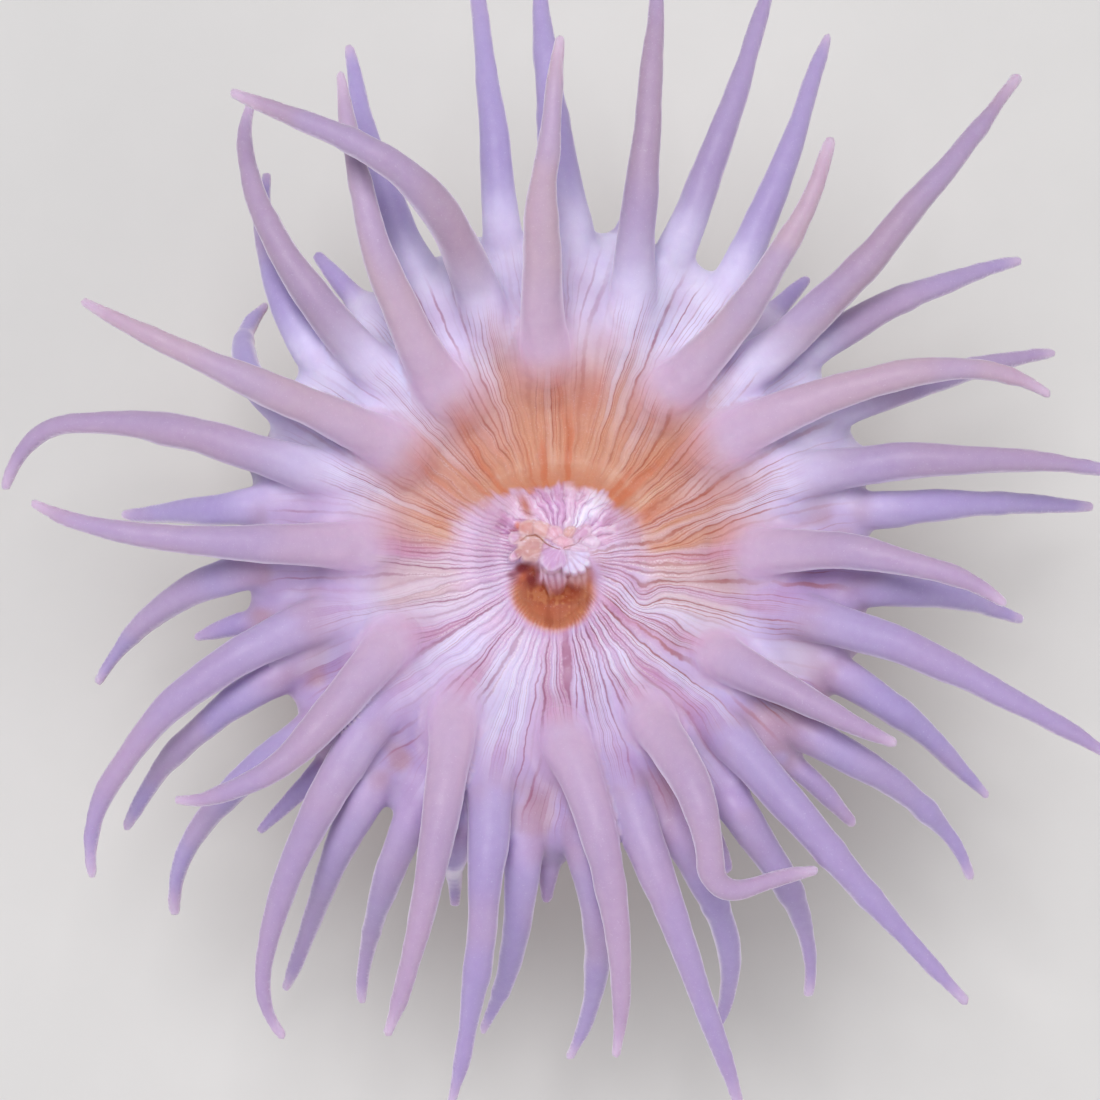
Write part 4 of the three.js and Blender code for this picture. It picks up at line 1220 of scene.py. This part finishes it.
# ---- materials ----------------------------------------------------------------------------------
class Nodes:
    """Short hand for building a material's node tree."""

    def __init__(self, name):
        self.material = bpy.data.materials.new(name)
        self.material.use_nodes = True
        self.tree = self.material.node_tree
        self.tree.nodes.clear()
        self.at = self.add("TexCoord").outputs["Object"]

    def add(self, kind_of, settings=None, **inputs):
        node = self.tree.nodes.new("ShaderNode" + kind_of)
        for key, value in (settings or {}).items():
            setattr(node, key, value)
        for key, value in inputs.items():
            self.plug(node.inputs[key.replace("_", " ")], value)
        return node

    def plug(self, socket, value):
        if isinstance(value, bpy.types.NodeSocket):
            self.tree.links.new(value, socket)
        else:
            socket.default_value = value

    def math(self, operation, *values):
        node = self.add("Math", {"operation": operation})
        for socket, value in zip(node.inputs, values):
            self.plug(socket, value)
        return node.outputs[0]

    def times(self, first, *others):
        for value in others:
            first = self.math("MULTIPLY", first, value)
        return first

    def ramp(self, value, low, high, to_low=0.0, to_high=1.0):
        node = self.add("MapRange", {"interpolation_type": "SMOOTHSTEP"})
        for socket, v in zip(node.inputs, (value, low, high, to_low, to_high)):
            self.plug(socket, v)
        return node.outputs[0]

    def blend(self, amount, a, b, how="MIX"):
        node = self.add("Mix", {"data_type": "RGBA", "blend_type": how})
        self.plug(node.inputs[0], amount)
        self.plug(node.inputs[6], a)
        self.plug(node.inputs[7], b)
        return node.outputs[2]

    def noise(self, scale, detail, roughness):
        return self.add("TexNoise", Scale=scale, Detail=detail, Roughness=roughness,
                        Vector=self.at).outputs["Fac"]

    def chance(self, number):
        """A random value for each whole number."""
        return self.add("TexWhiteNoise", {"noise_dimensions": "1D"}, W=number).outputs["Value"]

    def laid(self, name, output="Fac"):
        """What was laid on the mesh's points under a name."""
        return self.add("Attribute", {"attribute_name": name}).outputs[output]

    def finish(self, settings=None, **inputs):
        """Makes the surface and hands over the material."""
        shader = self.add("BsdfPrincipled", settings, **inputs)
        output = self.add("OutputMaterial")
        self.tree.links.new(shader.outputs[0], output.inputs["Surface"])
        return self.material


CRINKLE = 0.13         # how far the fine lines wander, in mm
HALO = 0.30            # how far the flesh beside a line is darkened, in mm
SHADE, PALE_GRAIN = (0.86, 0.80, 0.90, 1), (0.93, 0.90, 0.98, 1)
# painted highlights: the ribs' bright stripes and the glinting threads along them
RIB_HIGHLIGHT, THREAD_GLINT = (0.76, 0.74, 0.93, 1), (0.95, 0.88, 0.95, 1)


class FineLines:
    """The disc's fine radial lines, worked out from each point's own turn and reach."""

    def __init__(self, n, mottle):
        self.n, self.mottle = n, mottle
        flow = n.add("SeparateXYZ", Vector=n.laid("flow", "Vector")).outputs
        self.reach = flow[2]
        turn = n.math("DIVIDE", n.math("ARCTAN2", flow[1], flow[0]), FULL_TURN)
        wander = n.math("SUBTRACT", n.noise(1400.0, 1.0, 0.5), 0.5)
        wander = n.times(wander, CRINKLE / math.pi, n.ramp(self.reach, 10.0, 16.0, 1.0, 0.2))
        self.turn = n.math("ADD", turn, n.math("DIVIDE", wander, n.math("MAXIMUM", self.reach, 3.0)))

    def nearest(self, count, shift, faintest):
        """The distance to the nearest of a set of lines in mm, and how bold that line is."""
        n = self.n
        phase = n.math("ADD", n.times(self.turn, float(count)), shift)
        index = n.math("ROUND", phase)
        gap = n.math("ABSOLUTE", n.math("SUBTRACT", phase, index))
        distance = n.times(gap, n.times(self.reach, FULL_TURN / count))
        bold = n.ramp(n.chance(n.math("FLOORED_MODULO", index, float(count))), 0.1, 0.9, faintest, 1.0)
        return distance, bold

    def lines(self, nearest, half_width, soft):
        """Lines whose width varies a little."""
        n, (distance, bold) = self.n, nearest
        wide = n.ramp(self.mottle, 0.35, 0.65, half_width * 0.5, half_width * 1.3)
        return n.times(n.ramp(n.math("SUBTRACT", distance, wide), 0.0, soft, 1.0, 0.0), bold)

    def halo(self, nearest):
        """The darker flesh beside lines."""
        distance, bold = nearest
        return self.n.times(bold, self.n.ramp(distance, 0.0, HALO, 1.0, 0.0))

    def brightness(self):
        """Every rib between two lines has a painted highlight of a brightness of its own."""
        n = self.n
        return n.ramp(n.chance(n.math("FLOOR", n.times(self.turn, float(RIBS)))), 0.35, 1.0)


def skin_material():
    n = Nodes("living_skin")
    tint, ink = n.laid("tint", "Color"), n.laid("ink", "Color")
    strength, rib_highlight = n.laid("lines"), n.laid("rib_highlight")
    speckle = n.noise(5200.0, 2.0, 0.6)
    mottle = n.noise(900.0, 3.0, 0.6)
    fine = FineLines(n, mottle)

    # main lines all the way out, and finer ones between them farther out
    main_lines = fine.nearest(RIBS, 0.0, 0.20)
    main = fine.lines(main_lines, 0.040, 0.07)
    second = n.times(fine.lines(fine.nearest(RIBS, 0.5, 0.15), 0.02, 0.06),
                     n.ramp(fine.reach, 8.0, 11.0))
    third = n.times(fine.lines(fine.nearest(2 * RIBS, 0.5, 0.15), 0.015, 0.05),
                    n.ramp(fine.reach, 9.5, 14.0, 0.0, 0.7))
    dark = n.math("MAXIMUM", main, n.math("MAXIMUM", second, third))
    dark = n.times(dark, n.ramp(n.noise(220.0, 2.0, 0.5), 0.34, 0.60, 0.45, 1.0), strength)
    # threads of painted glints along the ribs, broken into beads, fading out past reach 14.5
    thread = n.times(fine.lines(fine.nearest(2 * RIBS, 0.5, 0.3), 0.03, 0.07),
                     n.ramp(fine.reach, 14.5, 17.5, 1.0, 0.0), rib_highlight,
                     n.ramp(speckle, 0.40, 0.62, 0.25, 0.9))

    base = n.blend(n.ramp(mottle, 0.3, 0.75, 0.0, 0.30), tint, n.blend(1.0, tint, SHADE, "MULTIPLY"))
    base = n.blend(n.ramp(speckle, 0.60, 0.78, 0.0, 0.18), base, PALE_GRAIN)
    # painted highlight on the ribs, and painted glints along the threads
    base = n.blend(n.times(fine.brightness(), rib_highlight, 0.62), base, RIB_HIGHLIGHT)
    base = n.blend(n.times(thread, 0.70), base, THREAD_GLINT)
    base = n.blend(n.times(fine.halo(main_lines), strength, 0.40), base, n.blend(0.45, base, ink))
    base = n.blend(n.times(dark, 0.75), base, ink)

    relief = n.math("ADD", n.times(mottle, 0.35), n.times(speckle, 0.10))
    relief = n.math("SUBTRACT", relief, n.times(dark, 0.45))
    relief = n.math("ADD", relief, n.times(thread, 0.4))
    bump = n.add("Bump", Strength=0.50, Distance=0.00010, Height=relief)
    return n.finish(
        {"subsurface_method": "RANDOM_WALK"}, Base_Color=base, Normal=bump.outputs["Normal"],
        Roughness=n.ramp(mottle, 0.3, 0.7, 0.44, 0.56), IOR=1.38,
        Subsurface_Weight=0.75, Subsurface_Radius=(1.0, 0.72, 0.85), Subsurface_Scale=0.0016,
        Sheen_Weight=0.45, Sheen_Roughness=0.30, Sheen_Tint=(0.97, 0.92, 1.0, 1))


def floor_material():
    n = Nodes("studio_floor")
    base = n.blend(n.noise(60.0, 5.0, 0.6), (0.66, 0.655, 0.645, 1), (0.71, 0.705, 0.695, 1))
    return n.finish(Base_Color=base, Roughness=0.75)


skin.data.materials.append(skin_material())
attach(skin, "root")
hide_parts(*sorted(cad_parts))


# ---- floor, light and camera, in metres ---------------------------------------------------------
FLOOR_HALF, FLOOR_DROP = 3.0, 0.0002
CROWN = (0, 0, 0.035)                  # what the lights face
SKY, SKY_STRENGTH = (0.86, 0.86, 0.89, 1), 0.33
# the camera looks down on the crown, 6 degrees off the vertical
ELEVATION, DISTANCE = math.radians(84), 0.300
AIM = Vector((-0.001, -0.0012066, 0.041))
VIEW_WIDTH = 0.110                     # what the picture spans at the aim


def add_object(name, data):
    """An object in the scene."""
    placed = bpy.data.objects.new(name, data)
    bpy.context.scene.collection.objects.link(placed)
    return placed


def studio_floor():
    mesh = bpy.data.meshes.new("floor")
    corners = [(x, y, 0) for x, y in ((-1, -1), (1, -1), (1, 1), (-1, 1))]
    mesh.from_pydata([tuple(FLOOR_HALF * v for v in corner) for corner in corners], [], [(0, 1, 2, 3)])
    mesh.materials.append(floor_material())
    floor = add_object("floor", mesh)
    floor.location.z = -FLOOR_DROP


def sky():
    world = bpy.data.worlds.new("studio")
    world.use_nodes = True
    background = world.node_tree.nodes["Background"]
    background.inputs["Color"].default_value = SKY
    background.inputs["Strength"].default_value = SKY_STRENGTH
    bpy.context.scene.world = world


def area_light(name, place, size, power, tint):
    light = bpy.data.lights.new(name, "AREA")
    light.shape, light.size, light.energy, light.color = "DISK", size, power, tint
    holder = add_object(name, light)
    holder.location = place
    holder.rotation_euler = (Vector(CROWN) - Vector(place)).to_track_quat("-Z", "Y").to_euler()


def add_camera():
    forward = Vector((0, math.cos(ELEVATION), -math.sin(ELEVATION)))
    up = Vector((0, math.sin(ELEVATION), math.cos(ELEVATION)))
    right = forward.cross(up)
    place = AIM - forward * DISTANCE
    data = bpy.data.cameras.new("camera")
    data.sensor_fit = "HORIZONTAL"
    data.angle = 2 * math.atan(VIEW_WIDTH / 2 / DISTANCE)
    data.clip_start, data.clip_end = 0.01, 20
    camera = add_object("camera", data)
    rows = [(right[k], up[k], -forward[k], place[k]) for k in range(3)]
    camera.matrix_world = Matrix((*rows, (0, 0, 0, 1)))
    bpy.context.scene.camera = camera


bpy.context.scene.view_settings.view_transform = "Standard"
studio_floor()
sky()
area_light("key", (-0.07, 0.15, 0.62), 0.32, 2.75, (1.0, 0.99, 0.99))
area_light("fill", (0.42, -0.28, 0.42), 0.45, 1.0, (1.0, 0.98, 0.97))
area_light("rim", (-0.45, -0.40, 0.18), 0.30, 0.75, (0.95, 0.95, 1.0))
add_camera()
